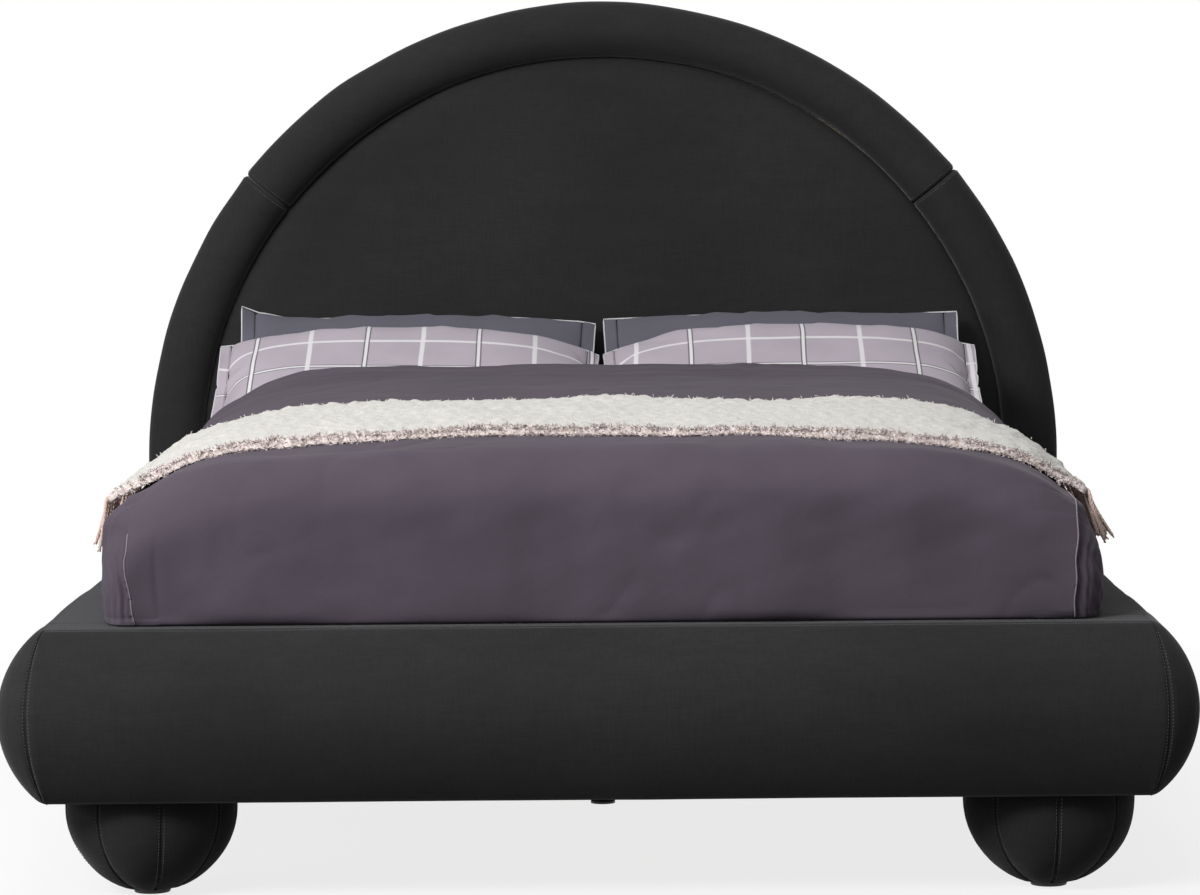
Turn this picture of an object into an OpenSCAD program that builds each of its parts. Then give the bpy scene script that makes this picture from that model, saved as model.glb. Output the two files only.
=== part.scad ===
/* [Mattress] */
// Width of the mattress
mattress_w = 1524; // [1370:1:1830]
// Length of the mattress
mattress_l = 2032; // [1900:1:2130]
// Thickness of the mattress
mattress_h = 270; // [220:1:300]
// Gap between the mattress and the frame, all round
mattress_gap = 8; // [7:1:15]
// Radius of the mattress's edges and corners
mattress_edge_r = 35; // [25:1:40]
// Thickness of the quilted mattress cover
ticking_t = 12; // [6:1:20]
// Radius of the cord sewn round the mattress's edges
edge_cord_r = 3; // [2:0.5:5]

/* [Rails and footboard] */
// Height of the padded rails and footboard
rail_h = 275; // [260:1:320]
// Height of the rails' underside above the floor
rail_z = 163; // [120:1:185]
// Depth of the rails from inner face to the tip of the bulge
rail_depth = 168; // [150:1:190]
// Radius of the bulging outer face
rail_bulge_r = 173; // [165:1:220]
// Radius of the rolled edges above and below the bulge
rail_edge_r = 25; // [15:1:30]
// Radius of the front corners seen from above
corner_r = 75; // [50:1:76]
// Thickness of the boards inside the rails and the footboard
board_t = 25; // [22:1:30]
// Padding over the top and bottom edges of those boards
board_margin = 20; // [12:1:24]
// Thickness of the velvet cover
cover_t = 2; // [1:0.5:3]

/* [Headboard] */
// Height of the arch's centre above the rails' top
arch_rise = 118; // [60:1:200]
// How far the headboard's sides stand in from the rails' widest point
head_inset = 10; // [4:1:20]
// Width of the padded border, seen from the front
border_w = 110; // [90:1:130]
// How far the border's crest stands in front of the centre panel
border_proud = 35; // [20:1:45]
// Padding of the border outside the arched boards
border_wrap_t = 25; // [18:1:32]
// Glue gap between the border's padding and the edges of the arched boards
wrap_gap = 0.15; // [0.1:0.05:0.5]
// Angle above the horizontal of the two seams across the border
seam_angle = 39; // [30:1:50]
// Thickness of the panel's padding at its middle
panel_t = 42; // [38:1:60]
// How far the seam round the panel is drawn in
seam_draw = 15; // [8:1:20]
// Thickness of the arched board behind the padding
face_board_t = 15; // [12:1:18]
// Thickness of the arched board at the back
back_board_t = 6; // [4:1:9]
// Depth of the timbers between the two arched boards
post_d = 50; // [40:1:60]
// Width of the timbers between the two arched boards
post_w = 70; // [50:1:80]
// Thickness of the bent strip round the arch
rim_t = 18; // [12:1:22]
// Distance of the inner posts from the middle
post_x = 330; // [250:1:420]
// Height above the floor of the upper cross rail's middle
cross_rail_z = 690; // [640:1:760]
// Height of the rail that takes the brackets
mount_rail_h = 165; // [150:1:170]

/* [Slatted base] */
// Height of the slats' top above the floor
deck_z = 350; // [345:1:370]
// Number of slats
slat_count = 13; // [11:1:14]
// Width of a slat
slat_w = 85; // [60:1:95]
// Thickness of a slat
slat_t = 18; // [15:1:20]
// Gap between a slat's end and the rail
slat_gap = 2; // [1:1:5]
// Width of the ledger under the slats' ends
ledger_w = 30; // [25:1:40]
// Height of the ledger
ledger_h = 40; // [35:1:42]
// Width of the centre beam
beam_w = 45; // [40:1:60]
// Height of the centre beam
beam_h = 70; // [65:1:75]
// Gap between the beam's ends and its hangers
beam_gap = 1; // [1:1:3]
// Radius of the slat screws' shanks
slat_screw_r = 2; // [1.5:0.5:2.5]
// Length of the slat screws
slat_screw_l = 40; // [35:1:45]

/* [Brackets and bolts] */
// Thickness of the steel brackets and hangers
steel_t = 4; // [3:0.5:5]
// Length of the corner brackets' legs
bracket_leg = 60; // [50:1:70]
// Height of the corner brackets
bracket_h = 80; // [75:1:84]
// Side of the square corner blocks
block_w = 200; // [180:1:240]
// Thickness of the corner blocks
block_t = 40; // [35:1:42]
// Radius of the frame bolts' shanks
bolt_r = 4; // [3:0.5:4.5]
// Length of the frame bolts under the head
bolt_l = 22; // [20:1:24]
// Outer radius of the threaded inserts
insert_r = 6.5; // [6:0.5:8]
// Length of the threaded inserts
insert_l = 20; // [18:1:21]
// Clearance round a bolt in a steel bracket
bolt_gap = 0.4; // [0.3:0.1:0.8]
// Clearance of a threaded shank in its thread
thread_gap = 0.05; // [0.03:0.01:0.08]

/* [Feet] */
// Radius of the padded ball feet
foot_r = 137.5; // [120:0.5:139]
// Padding on a foot's wooden core
foot_pad_t = 12; // [8:1:16]
// Radius of the flat on which a foot stands
foot_flat_r = 33; // [30:1:40]
// Distance of a foot's middle inside the side rail's inner face
foot_in_x = 52; // [50:1:70]
// Distance of a foot's middle from the footboard's or headboard's inner face
foot_in_y = 57; // [57:1:70]
// Radius of the plastic glide under a foot
glide_r = 29; // [25:1:29]
// Thickness of the plastic glide
glide_t = 6; // [5:1:8]
// Radius of the stud that holds a foot
stud_r = 5; // [4:0.5:6]
// Length of the stud inside the foot
stud_down = 45; // [30:1:60]
// Length of the stud inside the corner block
stud_up = 32; // [25:1:34]
// Radius of the screw that holds a glide
glide_screw_r = 2.5; // [2:0.5:3]
// Length of the screw that holds a glide
glide_screw_l = 35; // [30:1:45]

/* [Centre legs] */
// Place of the front centre leg along the bed, from the bed's middle
leg_front_y = 0; // [-40:1:100]
// Place of the rear centre leg along the bed, from the bed's middle
leg_rear_y = 520; // [400:1:700]
// Outer radius of a centre leg's tube
leg_r = 19; // [16:0.5:22]
// Wall of a centre leg's tube
leg_wall = 2; // [1.5:0.5:3]
// Height of a tube's lower end above the floor
leg_end_z = 32; // [30:1:40]
// Length of the threaded plug in a tube's end
plug_l = 30; // [20:1:40]
// Length of the plate on top of a leg
leg_plate_l = 110; // [90:1:130]
// Radius of a leveller's pad
pad_r = 22; // [18:1:30]
// Height of a leveller's pad
pad_h = 12; // [10:1:13]
// Gap between a leveller's pad and the floor
pad_gap = 0.3; // [0.2:0.1:1]
// Radius of a leveller's threaded stem
stem_r = 4; // [3:0.5:5]
// Radius of the adjusting wheel on a leveller's stem
wheel_r = 18; // [14:1:20]
// Radius of the grip notches round that wheel
grip_r = 3; // [2:0.5:4]
// Travel of a leveller from its lowest place
level_travel = 10; // [5:1:10]
// Running clearance of the stem in its pad
swivel_gap = 0.06; // [0.03:0.01:0.08]

/* [Duvet and throw] */
// Distance by which the duvet's sides stand out from the mattress
duvet_side = 38; // [34:1:60]
// Height of the upright stretch of the duvet's sides above the hem
duvet_upright = 50; // [30:1:80]
// Distance by which the duvet stands out over the footboard
duvet_foot = 78; // [70:1:80]
// Height of the duvet above the mattress towards the foot
duvet_loft_foot = 87; // [75:1:120]
// Height of the duvet above the mattress at its folded head end
duvet_loft_head = 164; // [130:1:190]
// Distance between the duvet's folded head end and the front pillows
duvet_gap = 6; // [4:1:60]
// Clearance of the duvet from the mattress and the rails
cloth_gap = 0.5; // [0.3:0.1:1]
// Depth of the soft folds in the duvet's sides
duvet_fold = 5; // [0:0.5:7]
// Thickness of the throw
throw_t = 16; // [10:1:22]
// Width of the throw along the bed
throw_w = 470; // [380:1:560]
// Distance of the throw from the foot end of the bed
throw_y = 310; // [280:1:420]
// Length by which the throw's cloth hangs below the mattress's top
throw_drop = 30; // [20:1:60]
// Length of the fringe at the throw's two ends
fringe_l = 60; // [40:1:70]
// Thickness of the fringe
fringe_t = 5; // [3:1:8]

/* [Pillows] */
// Width of the rear pillows
rear_pillow_w = 716; // [650:1:730]
// Height of the rear pillows along their slope
rear_pillow_h = 430; // [400:1:440]
// Slope of the rear pillows above the horizontal
rear_tilt = 29; // [27:0.5:31]
// Distance of the rear pillows from the border's crest
rear_pillow_gap = 2; // [1:1:20]
// Width of the front pillows
front_pillow_w = 738; // [650:1:744]
// Height of the front pillows along their slope
front_pillow_h = 430; // [400:1:440]
// Slope of the front pillows above the horizontal
front_tilt = 24; // [21:0.5:26]
// Crown of the rear pillows on their upper side
rear_above = 26; // [15:1:40]
// Crown of the rear pillows on their lower side
rear_below = 56; // [30:1:70]
// Crown of the front pillows on their upper side
front_above = 62; // [30:1:70]
// Crown of the front pillows on their lower side
front_below = 24; // [15:1:40]
// Gap between the two pillows of a row
pillow_gap = 8; // [4:1:20]
// Thickness of a pillow's sewn edge
pillow_edge_t = 5; // [4:1:8]
// How far a pillow's sides are drawn in between its corners
pillow_draw = 12; // [5:1:20]

/* [Hidden] */
$fn = 96;

// Extra length of a cut past a face
cut = 1;

// Places along the width, from the middle outwards
rail_x = mattress_w / 2 + mattress_gap;
side_x = rail_x + rail_depth;
turn_x = side_x - corner_r;
turn_u = rail_depth - corner_r;

// Depths of the headboard's layers, from the back forwards
back_d = cover_t + back_board_t;
face_d = back_d + post_d;
pad_d = face_d + face_board_t;
panel_d = pad_d + panel_t;
seam_d = panel_d - seam_draw;
crest_d = panel_d + border_proud;

// Places along the length, from the foot to the head
bed_l = rail_depth + 2 * mattress_gap + mattress_l + panel_d;
y_tip = -bed_l / 2;
y_foot = y_tip + rail_depth;
y_mattress = y_foot + mattress_gap;
y_head = y_mattress + mattress_l + mattress_gap;
y_back = y_head + panel_d;

// Heights
rail_top = rail_z + rail_h;
arch_z = rail_top + arch_rise;
mattress_top = deck_z + cloth_gap + mattress_h;
ledger_top = deck_z - slat_t;
beam_z = ledger_top - beam_h;
block_top = rail_z + block_t;
foot_z = glide_t + sqrt(foot_r * foot_r - foot_flat_r * foot_flat_r);

// Radii of the arch's outside, of its seam and of its boards
head_r = side_x - head_inset;
seam_r = head_r - border_w;
core_r = head_r - border_wrap_t;

// Round heads of the bolts and countersunk heads of the screws
bolt_head_r = 2 * bolt_r;
bolt_head_h = 1.1 * bolt_r;
bolt_crown_r = 1.4 * bolt_r;
socket_r = 0.7 * bolt_r;
screw_head_r = 2 * slat_screw_r;

// Points along an arc, its first point left out so that arcs can be chained
function arc(cx, cy, rx, ry, from, to, steps) =
    [for (i = [1:steps]) let (a = from + (to - from) * i / steps) [cx + rx * cos(a), cy + ry * sin(a)]];

// Outline of a rail: flat inner face, flat top and bottom, rolled edges and a bulge, drawn in by inset
edge_z = rail_h / 2 - rail_edge_r;
bulge_u = rail_depth - rail_bulge_r;
edge_u = bulge_u + sqrt(pow(rail_bulge_r - rail_edge_r, 2) - edge_z * edge_z);
edge_a = atan2(edge_z, edge_u - bulge_u);
function rail_outline(inset) = concat(
    [[inset, inset], [edge_u, inset]],
    arc(edge_u, rail_h / 2 - edge_z, rail_edge_r - inset, rail_edge_r - inset, -90, -edge_a, 5),
    arc(bulge_u, rail_h / 2, rail_bulge_r - inset, rail_bulge_r - inset, -edge_a, edge_a, 18),
    arc(edge_u, rail_h / 2 + edge_z, rail_edge_r - inset, rail_edge_r - inset, edge_a, 90, 5),
    [[inset, rail_h - inset]]);

// A solid skinned over sections with the same number of points each, an outer run and then an inner one.
// The inner run's faces are split the other way, so that they match another solid's outer run beneath them
module skin(sections) {
    n = len(sections);
    m = len(sections[0]);
    sides = [for (i = [0:n - 2], j = [0:m - 1])
        let (a = i * m + j, b = i * m + (j + 1) % m)
        each j < m / 2 ? [[a, b + m, b], [a, a + m, b + m]] : [[a, a + m, b], [a + m, b + m, b]]];
    first = [for (j = [0:m / 2 - 2]) each j < m / 4
        ? [[j, j + 1, m - 1 - j], [j + 1, m - 2 - j, m - 1 - j]]
        : [[j, j + 1, m - 2 - j], [j, m - 2 - j, m - 1 - j]]];
    base = (n - 1) * m;
    last = [for (t = first) [base + t[2], base + t[1], base + t[0]]];
    polyhedron(points = [for (s = sections) each s], faces = concat(sides, first, last));
}

// Left and right, or front and rear, copies
module both_sides() {
    children();
    mirror([1, 0, 0]) children();
}

module at_feet() {
    for (x = [-1, 1], y = [y_foot + foot_in_y, y_head - foot_in_y])
        translate([x * (rail_x - foot_in_x), y, 0]) children();
}

// Headboard

module arch_outline(r, bottom) {
    translate([0, arch_z]) intersection() {
        circle(r = r, $fn = 180);
        translate([-r, 0]) square([2 * r, r]);
    }
    translate([-r, bottom]) square([2 * r, arch_z - bottom]);
}

module at_depth(d, t) {
    translate([0, y_back - d, 0]) rotate([90, 0, 0]) linear_extrude(t) children();
}

module headboard_face_board() {
    color("burlywood") at_depth(face_d, face_board_t) arch_outline(core_r, rail_z + cover_t);
}

module headboard_back_board() {
    color("burlywood") at_depth(cover_t, back_board_t) arch_outline(core_r, rail_z + cover_t);
}

module headboard_rim() {
    color("tan") at_depth(back_d, post_d) difference() {
        arch_outline(core_r, rail_z + cover_t);
        arch_outline(core_r - rim_t, rail_z);
    }
}

inner_r = core_r - rim_t;
base_rail_top = rail_z + cover_t + post_w;
upper_rail_z = cross_rail_z - post_w / 2;

module headboard_posts() {
    joint_gap = 0.3;
    color("wheat") at_depth(back_d, post_d) {
        for (x = [-inner_r, inner_r - post_w])
            translate([x, base_rail_top]) square([post_w, arch_z - base_rail_top]);
        for (x = [-post_x, post_x]) {
            translate([x - post_w / 2, base_rail_top]) square([post_w, upper_rail_z - base_rail_top]);
            intersection() {
                translate([x - post_w / 2, upper_rail_z + post_w]) square([post_w, head_r]);
                translate([0, arch_z]) circle(r = inner_r - joint_gap, $fn = 180);
            }
        }
    }
}

module headboard_cross_rails() {
    half = sqrt(pow(inner_r, 2) - pow(upper_rail_z + post_w - arch_z, 2)) - cut;
    color("wheat") at_depth(back_d, post_d) {
        translate([-inner_r, rail_z + cover_t]) square([2 * inner_r, post_w]);
        translate([-half, upper_rail_z]) square([2 * half, post_w]);
    }
}

mount_rail_top = rail_z + cover_t + mount_rail_h;

module headboard_mount_rail() {
    color("burlywood") difference() {
        at_depth(pad_d, panel_t)
            translate([-seam_r, rail_z + cover_t]) square([2 * seam_r, mount_rail_h]);
        at_bolts("head") cylinder(r = insert_r, h = 2 * insert_l, center = true);
    }
}

// Half of the panel's section: radius and depth
panel_round = 3 * seam_draw;
panel_section = concat(
    [[0, pad_d], [seam_r, pad_d], [seam_r, seam_d]],
    arc(seam_r - panel_round, seam_d, panel_round, seam_draw, 0, 90, 8),
    [[0, panel_d]]);

module headboard_panel() {
    color("dimgray") {
        translate([0, y_back, arch_z]) rotate([90, 0, 0])
            rotate_extrude(angle = 180, $fn = 180) polygon(panel_section);
        both_sides() translate([0, y_back, mount_rail_top]) mirror([0, 1, 0])
            linear_extrude(arch_z - mount_rail_top) polygon(panel_section);
    }
}

// The border's section: a roll above the rails, flat where the rails butt against it
back_r = border_wrap_t / 3;
border_back = concat(
    [[seam_r, pad_d], [core_r + wrap_gap, pad_d], [core_r + wrap_gap, 0], [head_r - back_r, 0]],
    arc(head_r - back_r, back_r, back_r, back_r, -90, 0, 4));
border_roll = concat(border_back, [[head_r, seam_d]],
    arc(head_r - border_w / 2, seam_d, border_w / 2, crest_d - seam_d, 0, 180, 18));
border_flat = concat(border_back, [[head_r, panel_d - back_r]],
    arc(head_r - back_r, panel_d - back_r, back_r, back_r, 0, 90, 4), [[seam_r, panel_d]]);

module border_arc(from, to, section) {
    translate([0, y_back, arch_z]) rotate([90, 0, 0]) rotate([0, 0, from])
        rotate_extrude(angle = to - from, $fn = 180) polygon(section);
}

module border_leg(from, to, section) {
    translate([0, y_back, from]) mirror([0, 1, 0]) linear_extrude(to - from) polygon(section);
}

module border_side() {
    border_arc(0, seam_angle, border_roll);
    border_leg(rail_top, arch_z, border_roll);
    border_leg(rail_z, rail_top, border_flat);
}

module headboard_border_right() {
    color("dimgray") border_side();
}

module headboard_border_left() {
    color("dimgray") mirror([1, 0, 0]) border_side();
}

module headboard_border_top() {
    color("dimgray") border_arc(seam_angle, 180 - seam_angle, border_roll);
}

module headboard_back_cover() {
    color("dimgray") {
        at_depth(0, cover_t) arch_outline(core_r, rail_z);
        at_depth(cover_t, pad_d - cover_t) translate([-core_r, rail_z]) square([2 * core_r, cover_t]);
        at_depth(pad_d, panel_t) translate([-seam_r, rail_z]) square([2 * seam_r, cover_t]);
    }
}

// Footboard and side rails

module rail_length(inset, from, to) {
    translate([rail_x, to, rail_z]) rotate([90, 0, 0]) linear_extrude(to - from)
        polygon(rail_outline(inset));
}

module corner_section(inset) {
    translate([-turn_u, 0]) intersection() {
        polygon(rail_outline(inset));
        translate([turn_u, 0]) square([rail_depth, rail_h]);
    }
}

// The footboard's rounded body: a straight length, two turned corners and two short returns
module footboard_body(inset) {
    translate([-turn_x, y_foot, rail_z]) mirror([0, 1, 0]) rotate([90, 0, 90])
        linear_extrude(2 * turn_x) polygon(rail_outline(inset));
    both_sides() {
        translate([turn_x, y_tip + corner_r, rail_z]) rotate([0, 0, -90])
            rotate_extrude(angle = 90) corner_section(inset);
        translate([turn_x, y_foot - inset, rail_z]) rotate([90, 0, 0])
            linear_extrude(turn_u - inset) corner_section(inset);
    }
}

module footboard_board_box(grow) {
    translate([-turn_x + board_margin, y_foot - cover_t - board_t - grow, rail_z + board_margin])
        cube([2 * (turn_x - board_margin), board_t + grow, rail_h - 2 * board_margin]);
}

module footboard_board() {
    color("burlywood") difference() {
        footboard_board_box(0);
        at_bolts("foot") cylinder(r = insert_r, h = 2 * (insert_l + cover_t), center = true);
    }
}

module footboard_foam() {
    color("khaki") difference() {
        footboard_body(cover_t);
        footboard_board_box(0);
    }
}

module footboard_cover() {
    color("dimgray") difference() {
        footboard_body(0);
        footboard_body(cover_t);
        at_bolts("foot") cylinder(r = bolt_r + bolt_gap, h = 2 * insert_l, center = true);
    }
}

module side_board_box() {
    translate([rail_x + cover_t, y_foot, rail_z + board_margin])
        cube([board_t, y_head - y_foot, rail_h - 2 * board_margin]);
}

module side_board() {
    color("burlywood") difference() {
        side_board_box();
        at_bolts("side") cylinder(r = insert_r, h = 2 * (insert_l + cover_t), center = true);
    }
}

module side_foam() {
    color("khaki") difference() {
        rail_length(cover_t, y_foot, y_head);
        side_board_box();
    }
}

module side_cover() {
    color("dimgray") difference() {
        rail_length(0, y_foot, y_head);
        rail_length(cover_t, y_foot - cut, y_head + cut);
        at_bolts("side") cylinder(r = bolt_r + bolt_gap, h = 2 * insert_l, center = true);
    }
}

module side_board_right() side_board();
module side_foam_right() side_foam();
module side_cover_right() side_cover();
module side_board_left() mirror([1, 0, 0]) side_board();
module side_foam_left() mirror([1, 0, 0]) side_foam();
module side_cover_left() mirror([1, 0, 0]) side_cover();

// Corner blocks, brackets, inserts and bolts

// Places of a bracket's holes: two above each other in each upright leaf, one in the lower leaf
bracket_z = [0.3 * bracket_h, 0.75 * bracket_h];
bracket_out = 0.62 * bracket_leg;

// A hanger's back plate reaches past the beam on both sides, with a hole in the middle of each wing
hanger_wing = 30;
hanger_w = beam_w + 2 * steel_t + 2 * hanger_wing;
hanger_bolt_x = (hanger_w - hanger_wing) / 2;
hanger_bolt_z = beam_z + beam_h / 2;

// Each bolt stands at the face that its bracket lies on, with +Z towards its head
module at_bolts(place) {
    if (place == "foot") {
        both_sides() for (z = bracket_z)
            translate([rail_x - bracket_out, y_foot, block_top + z]) rotate([-90, 0, 0]) children();
        both_sides() translate([hanger_bolt_x, y_foot, hanger_bolt_z]) rotate([-90, 0, 0]) children();
    }
    if (place == "head") {
        both_sides() for (z = bracket_z)
            translate([rail_x - bracket_out, y_head, block_top + z]) rotate([90, 0, 0]) children();
        both_sides() translate([hanger_bolt_x, y_head, hanger_bolt_z]) rotate([90, 0, 0]) children();
    }
    if (place == "side")
        for (y = [y_foot + bracket_out, y_head - bracket_out], z = bracket_z)
            translate([rail_x, y, block_top + z]) rotate([0, -90, 0]) children();
    if (place == "block")
        both_sides() for (y = [y_foot + bracket_out, y_head - bracket_out])
            translate([rail_x - bracket_out, y, block_top]) children();
}

module corner_blocks() {
    color("burlywood") difference() {
        both_sides() for (y = [y_foot, y_head - block_w])
            translate([rail_x - block_w, y, rail_z]) cube([block_w, block_w, block_t]);
        at_bolts("block") cylinder(r = insert_r, h = 2 * insert_l, center = true);
        at_feet() translate([0, 0, rail_z - cut]) cylinder(r = stud_r, h = stud_up + cut);
    }
}

// A three-way bracket in the corner at the foot end
module corner_bracket() {
    translate([rail_x - bracket_leg, y_foot, block_top]) cube([bracket_leg, bracket_leg, steel_t]);
    translate([rail_x - bracket_leg, y_foot, block_top]) cube([bracket_leg, steel_t, bracket_h]);
    translate([rail_x - steel_t, y_foot, block_top]) cube([steel_t, bracket_leg, bracket_h]);
}

module corner_brackets() {
    color("dimgray") difference() {
        both_sides() {
            corner_bracket();
            translate([0, y_foot + y_head, 0]) mirror([0, 1, 0]) corner_bracket();
        }
        for (place = ["foot", "head", "block"])
            at_bolts(place) cylinder(r = bolt_r + bolt_gap, h = 3 * steel_t, center = true);
        both_sides() at_bolts("side") cylinder(r = bolt_r + bolt_gap, h = 3 * steel_t, center = true);
    }
}

// Inserts under a cover start behind it, the others are flush with the wood
module insert(skip) {
    translate([0, 0, -skip - insert_l]) difference() {
        cylinder(r = insert_r, h = insert_l);
        translate([0, 0, -cut]) cylinder(r = bolt_r + thread_gap, h = insert_l + 2 * cut);
    }
}

module threaded_inserts() {
    color("goldenrod") {
        at_bolts("foot") insert(cover_t);
        both_sides() at_bolts("side") insert(cover_t);
        at_bolts("head") insert(0);
        at_bolts("block") insert(0);
    }
}

module bolt() {
    translate([0, 0, steel_t - bolt_l]) cylinder(r = bolt_r, h = bolt_l);
    difference() {
        translate([0, 0, steel_t]) cylinder(r1 = bolt_head_r, r2 = bolt_crown_r, h = bolt_head_h);
        translate([0, 0, steel_t + bolt_head_h / 3]) cylinder(r = socket_r, h = bolt_head_h, $fn = 6);
    }
}

module frame_bolts() {
    color("silver") {
        for (place = ["foot", "head", "block"]) at_bolts(place) bolt();
        both_sides() at_bolts("side") bolt();
    }
}

// Ledgers, slats and centre beam

module ledger_right() {
    color("wheat") difference() {
        translate([rail_x - ledger_w, y_foot + mattress_gap, ledger_top - ledger_h])
            cube([ledger_w, y_head - y_foot - 2 * mattress_gap, ledger_h]);
        at_slats() at_slat_screw() slat_screw();
    }
}

module ledger_left() {
    mirror([1, 0, 0]) ledger_right();
}

slat_pitch = (y_head - y_foot - 2 * slat_gap - slat_w) / (slat_count - 1);

module at_slats() {
    for (i = [0:slat_count - 1])
        translate([0, y_foot + slat_gap + slat_w / 2 + i * slat_pitch, 0]) children();
}

module at_slat_screw() {
    translate([rail_x - ledger_w / 2, 0, deck_z]) children();
}

module slat_screw() {
    translate([0, 0, -slat_screw_l]) cylinder(r = slat_screw_r, h = slat_screw_l);
    translate([0, 0, -slat_screw_r]) cylinder(r1 = slat_screw_r, r2 = screw_head_r, h = slat_screw_r);
}

module slats() {
    half = rail_x - slat_gap;
    color("wheat") difference() {
        at_slats() translate([-half, -slat_w / 2, ledger_top]) cube([2 * half, slat_w, slat_t]);
        both_sides() at_slats() at_slat_screw() slat_screw();
    }
}

module slat_screws() {
    color("silver") both_sides() at_slats() at_slat_screw() slat_screw();
}

beam_from = y_foot + steel_t + beam_gap;
beam_to = y_head - steel_t - beam_gap;

module centre_beam() {
    color("wheat") translate([-beam_w / 2, beam_from, beam_z]) cube([beam_w, beam_to - beam_from, beam_h]);
}

hanger_seat = 45;
hanger_lip = 8;

// A saddle that carries the beam's end, at the foot end of the bed
module beam_hanger() {
    hanger_h = beam_h + steel_t - hanger_lip;
    translate([-hanger_w / 2, y_foot, beam_z - steel_t]) cube([hanger_w, steel_t, hanger_h]);
    translate([-beam_w / 2 - steel_t, y_foot, beam_z - steel_t])
        cube([beam_w + 2 * steel_t, hanger_seat, steel_t]);
    both_sides() translate([beam_w / 2, y_foot, beam_z - steel_t]) cube([steel_t, hanger_seat, hanger_h]);
}

module beam_hangers() {
    color("dimgray") difference() {
        union() {
            beam_hanger();
            translate([0, y_foot + y_head, 0]) mirror([0, 1, 0]) beam_hanger();
        }
        for (place = ["foot", "head"])
            at_bolts(place) cylinder(r = bolt_r + bolt_gap, h = 3 * steel_t, center = true);
    }
}

// Centre legs and their levellers

module centre_legs() {
    color("dimgray") for (y = [leg_front_y, leg_rear_y]) translate([0, y, 0]) {
        difference() {
            translate([0, 0, leg_end_z]) cylinder(r = leg_r, h = beam_z - steel_t - leg_end_z);
            translate([0, 0, leg_end_z - cut])
                cylinder(r = leg_r - leg_wall, h = beam_z - steel_t - leg_end_z + cut);
        }
        translate([-beam_w / 2, -leg_plate_l / 2, beam_z - steel_t]) cube([beam_w, leg_plate_l, steel_t]);
    }
}

module leg_plugs() {
    color("black") for (y = [leg_front_y, leg_rear_y]) translate([0, y, leg_end_z]) difference() {
        cylinder(r = leg_r - leg_wall, h = plug_l);
        translate([0, 0, -cut]) cylinder(r = stem_r + thread_gap, h = plug_l + 2 * cut);
    }
}

pad_rim = pad_h / 3;
socket_h = 2 * pad_h / 3;
wheel_gap = 3;
wheel_h = leg_end_z - pad_gap - pad_h - level_travel - wheel_gap;
grip_count = 8;

module leveller_pad(y) {
    color("black") translate([0, y, pad_gap]) difference() {
        rotate_extrude() polygon([[0, 0], [pad_r, 0], [pad_r, pad_rim], [2 * stem_r, pad_h], [0, pad_h]]);
        translate([0, 0, pad_h - socket_h]) cylinder(r = stem_r + swivel_gap, h = socket_h + cut);
    }
}

module leveller_stem(y) {
    low = pad_gap + pad_h - socket_h + pad_gap;
    color("silver") translate([0, y, 0]) {
        translate([0, 0, low]) cylinder(r = stem_r, h = leg_end_z + plug_l - low);
        translate([0, 0, pad_gap + pad_h + pad_gap]) difference() {
            cylinder(r = wheel_r, h = wheel_h);
            for (k = [1:grip_count]) rotate([0, 0, 360 * k / grip_count])
                translate([wheel_r + grip_r / 3, 0, -cut]) cylinder(r = grip_r, h = wheel_h + 2 * cut);
        }
    }
}

module leveller_pad_front() leveller_pad(leg_front_y);
module leveller_stem_front() leveller_stem(leg_front_y);
module leveller_pad_rear() leveller_pad(leg_rear_y);
module leveller_stem_rear() leveller_stem(leg_rear_y);

// Ball feet

module foot_ball(r) {
    intersection() {
        translate([0, 0, foot_z]) sphere(r = r);
        translate([-foot_r, -foot_r, glide_t]) cube([2 * foot_r, 2 * foot_r, rail_z - glide_t]);
    }
}

module foot_cover(x, y) {
    color("dimgray") translate([x * (rail_x - foot_in_x), y, 0]) difference() {
        foot_ball(foot_r);
        translate([0, 0, foot_z]) sphere(r = foot_r - foot_pad_t);
        cylinder(r = glide_screw_r, h = foot_z);
    }
}

module foot_cover_front_left() foot_cover(-1, y_foot + foot_in_y);
module foot_cover_front_right() foot_cover(1, y_foot + foot_in_y);
module foot_cover_rear_left() foot_cover(-1, y_head - foot_in_y);
module foot_cover_rear_right() foot_cover(1, y_head - foot_in_y);

module foot_cores() {
    color("burlywood") at_feet() difference() {
        foot_ball(foot_r - foot_pad_t);
        translate([0, 0, rail_z - stud_down]) cylinder(r = stud_r, h = stud_down + cut);
        cylinder(r = glide_screw_r, h = glide_head_z + glide_screw_l);
    }
}

module foot_studs() {
    color("silver") at_feet() translate([0, 0, rail_z - stud_down])
        cylinder(r = stud_r, h = stud_down + stud_up);
}

glide_head_r = 2 * glide_screw_r;
glide_head_z = glide_t / 3;
glide_chamfer = 1;

module glide_screw() {
    translate([0, 0, glide_head_z]) cylinder(r1 = glide_head_r, r2 = glide_screw_r, h = glide_screw_r);
    translate([0, 0, glide_head_z]) cylinder(r = glide_screw_r, h = glide_screw_l);
}

module glide_screws() {
    color("silver") at_feet() glide_screw();
}

module foot_glides() {
    color("black") at_feet() difference() {
        rotate_extrude() polygon([[0, 0], [glide_r - glide_chamfer, 0], [glide_r, glide_chamfer],
                                  [glide_r, glide_t], [0, glide_t]]);
        glide_screw();
        translate([0, 0, -cut]) cylinder(r = glide_head_r, h = glide_head_z + cut);
    }
}

// Mattress

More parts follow.
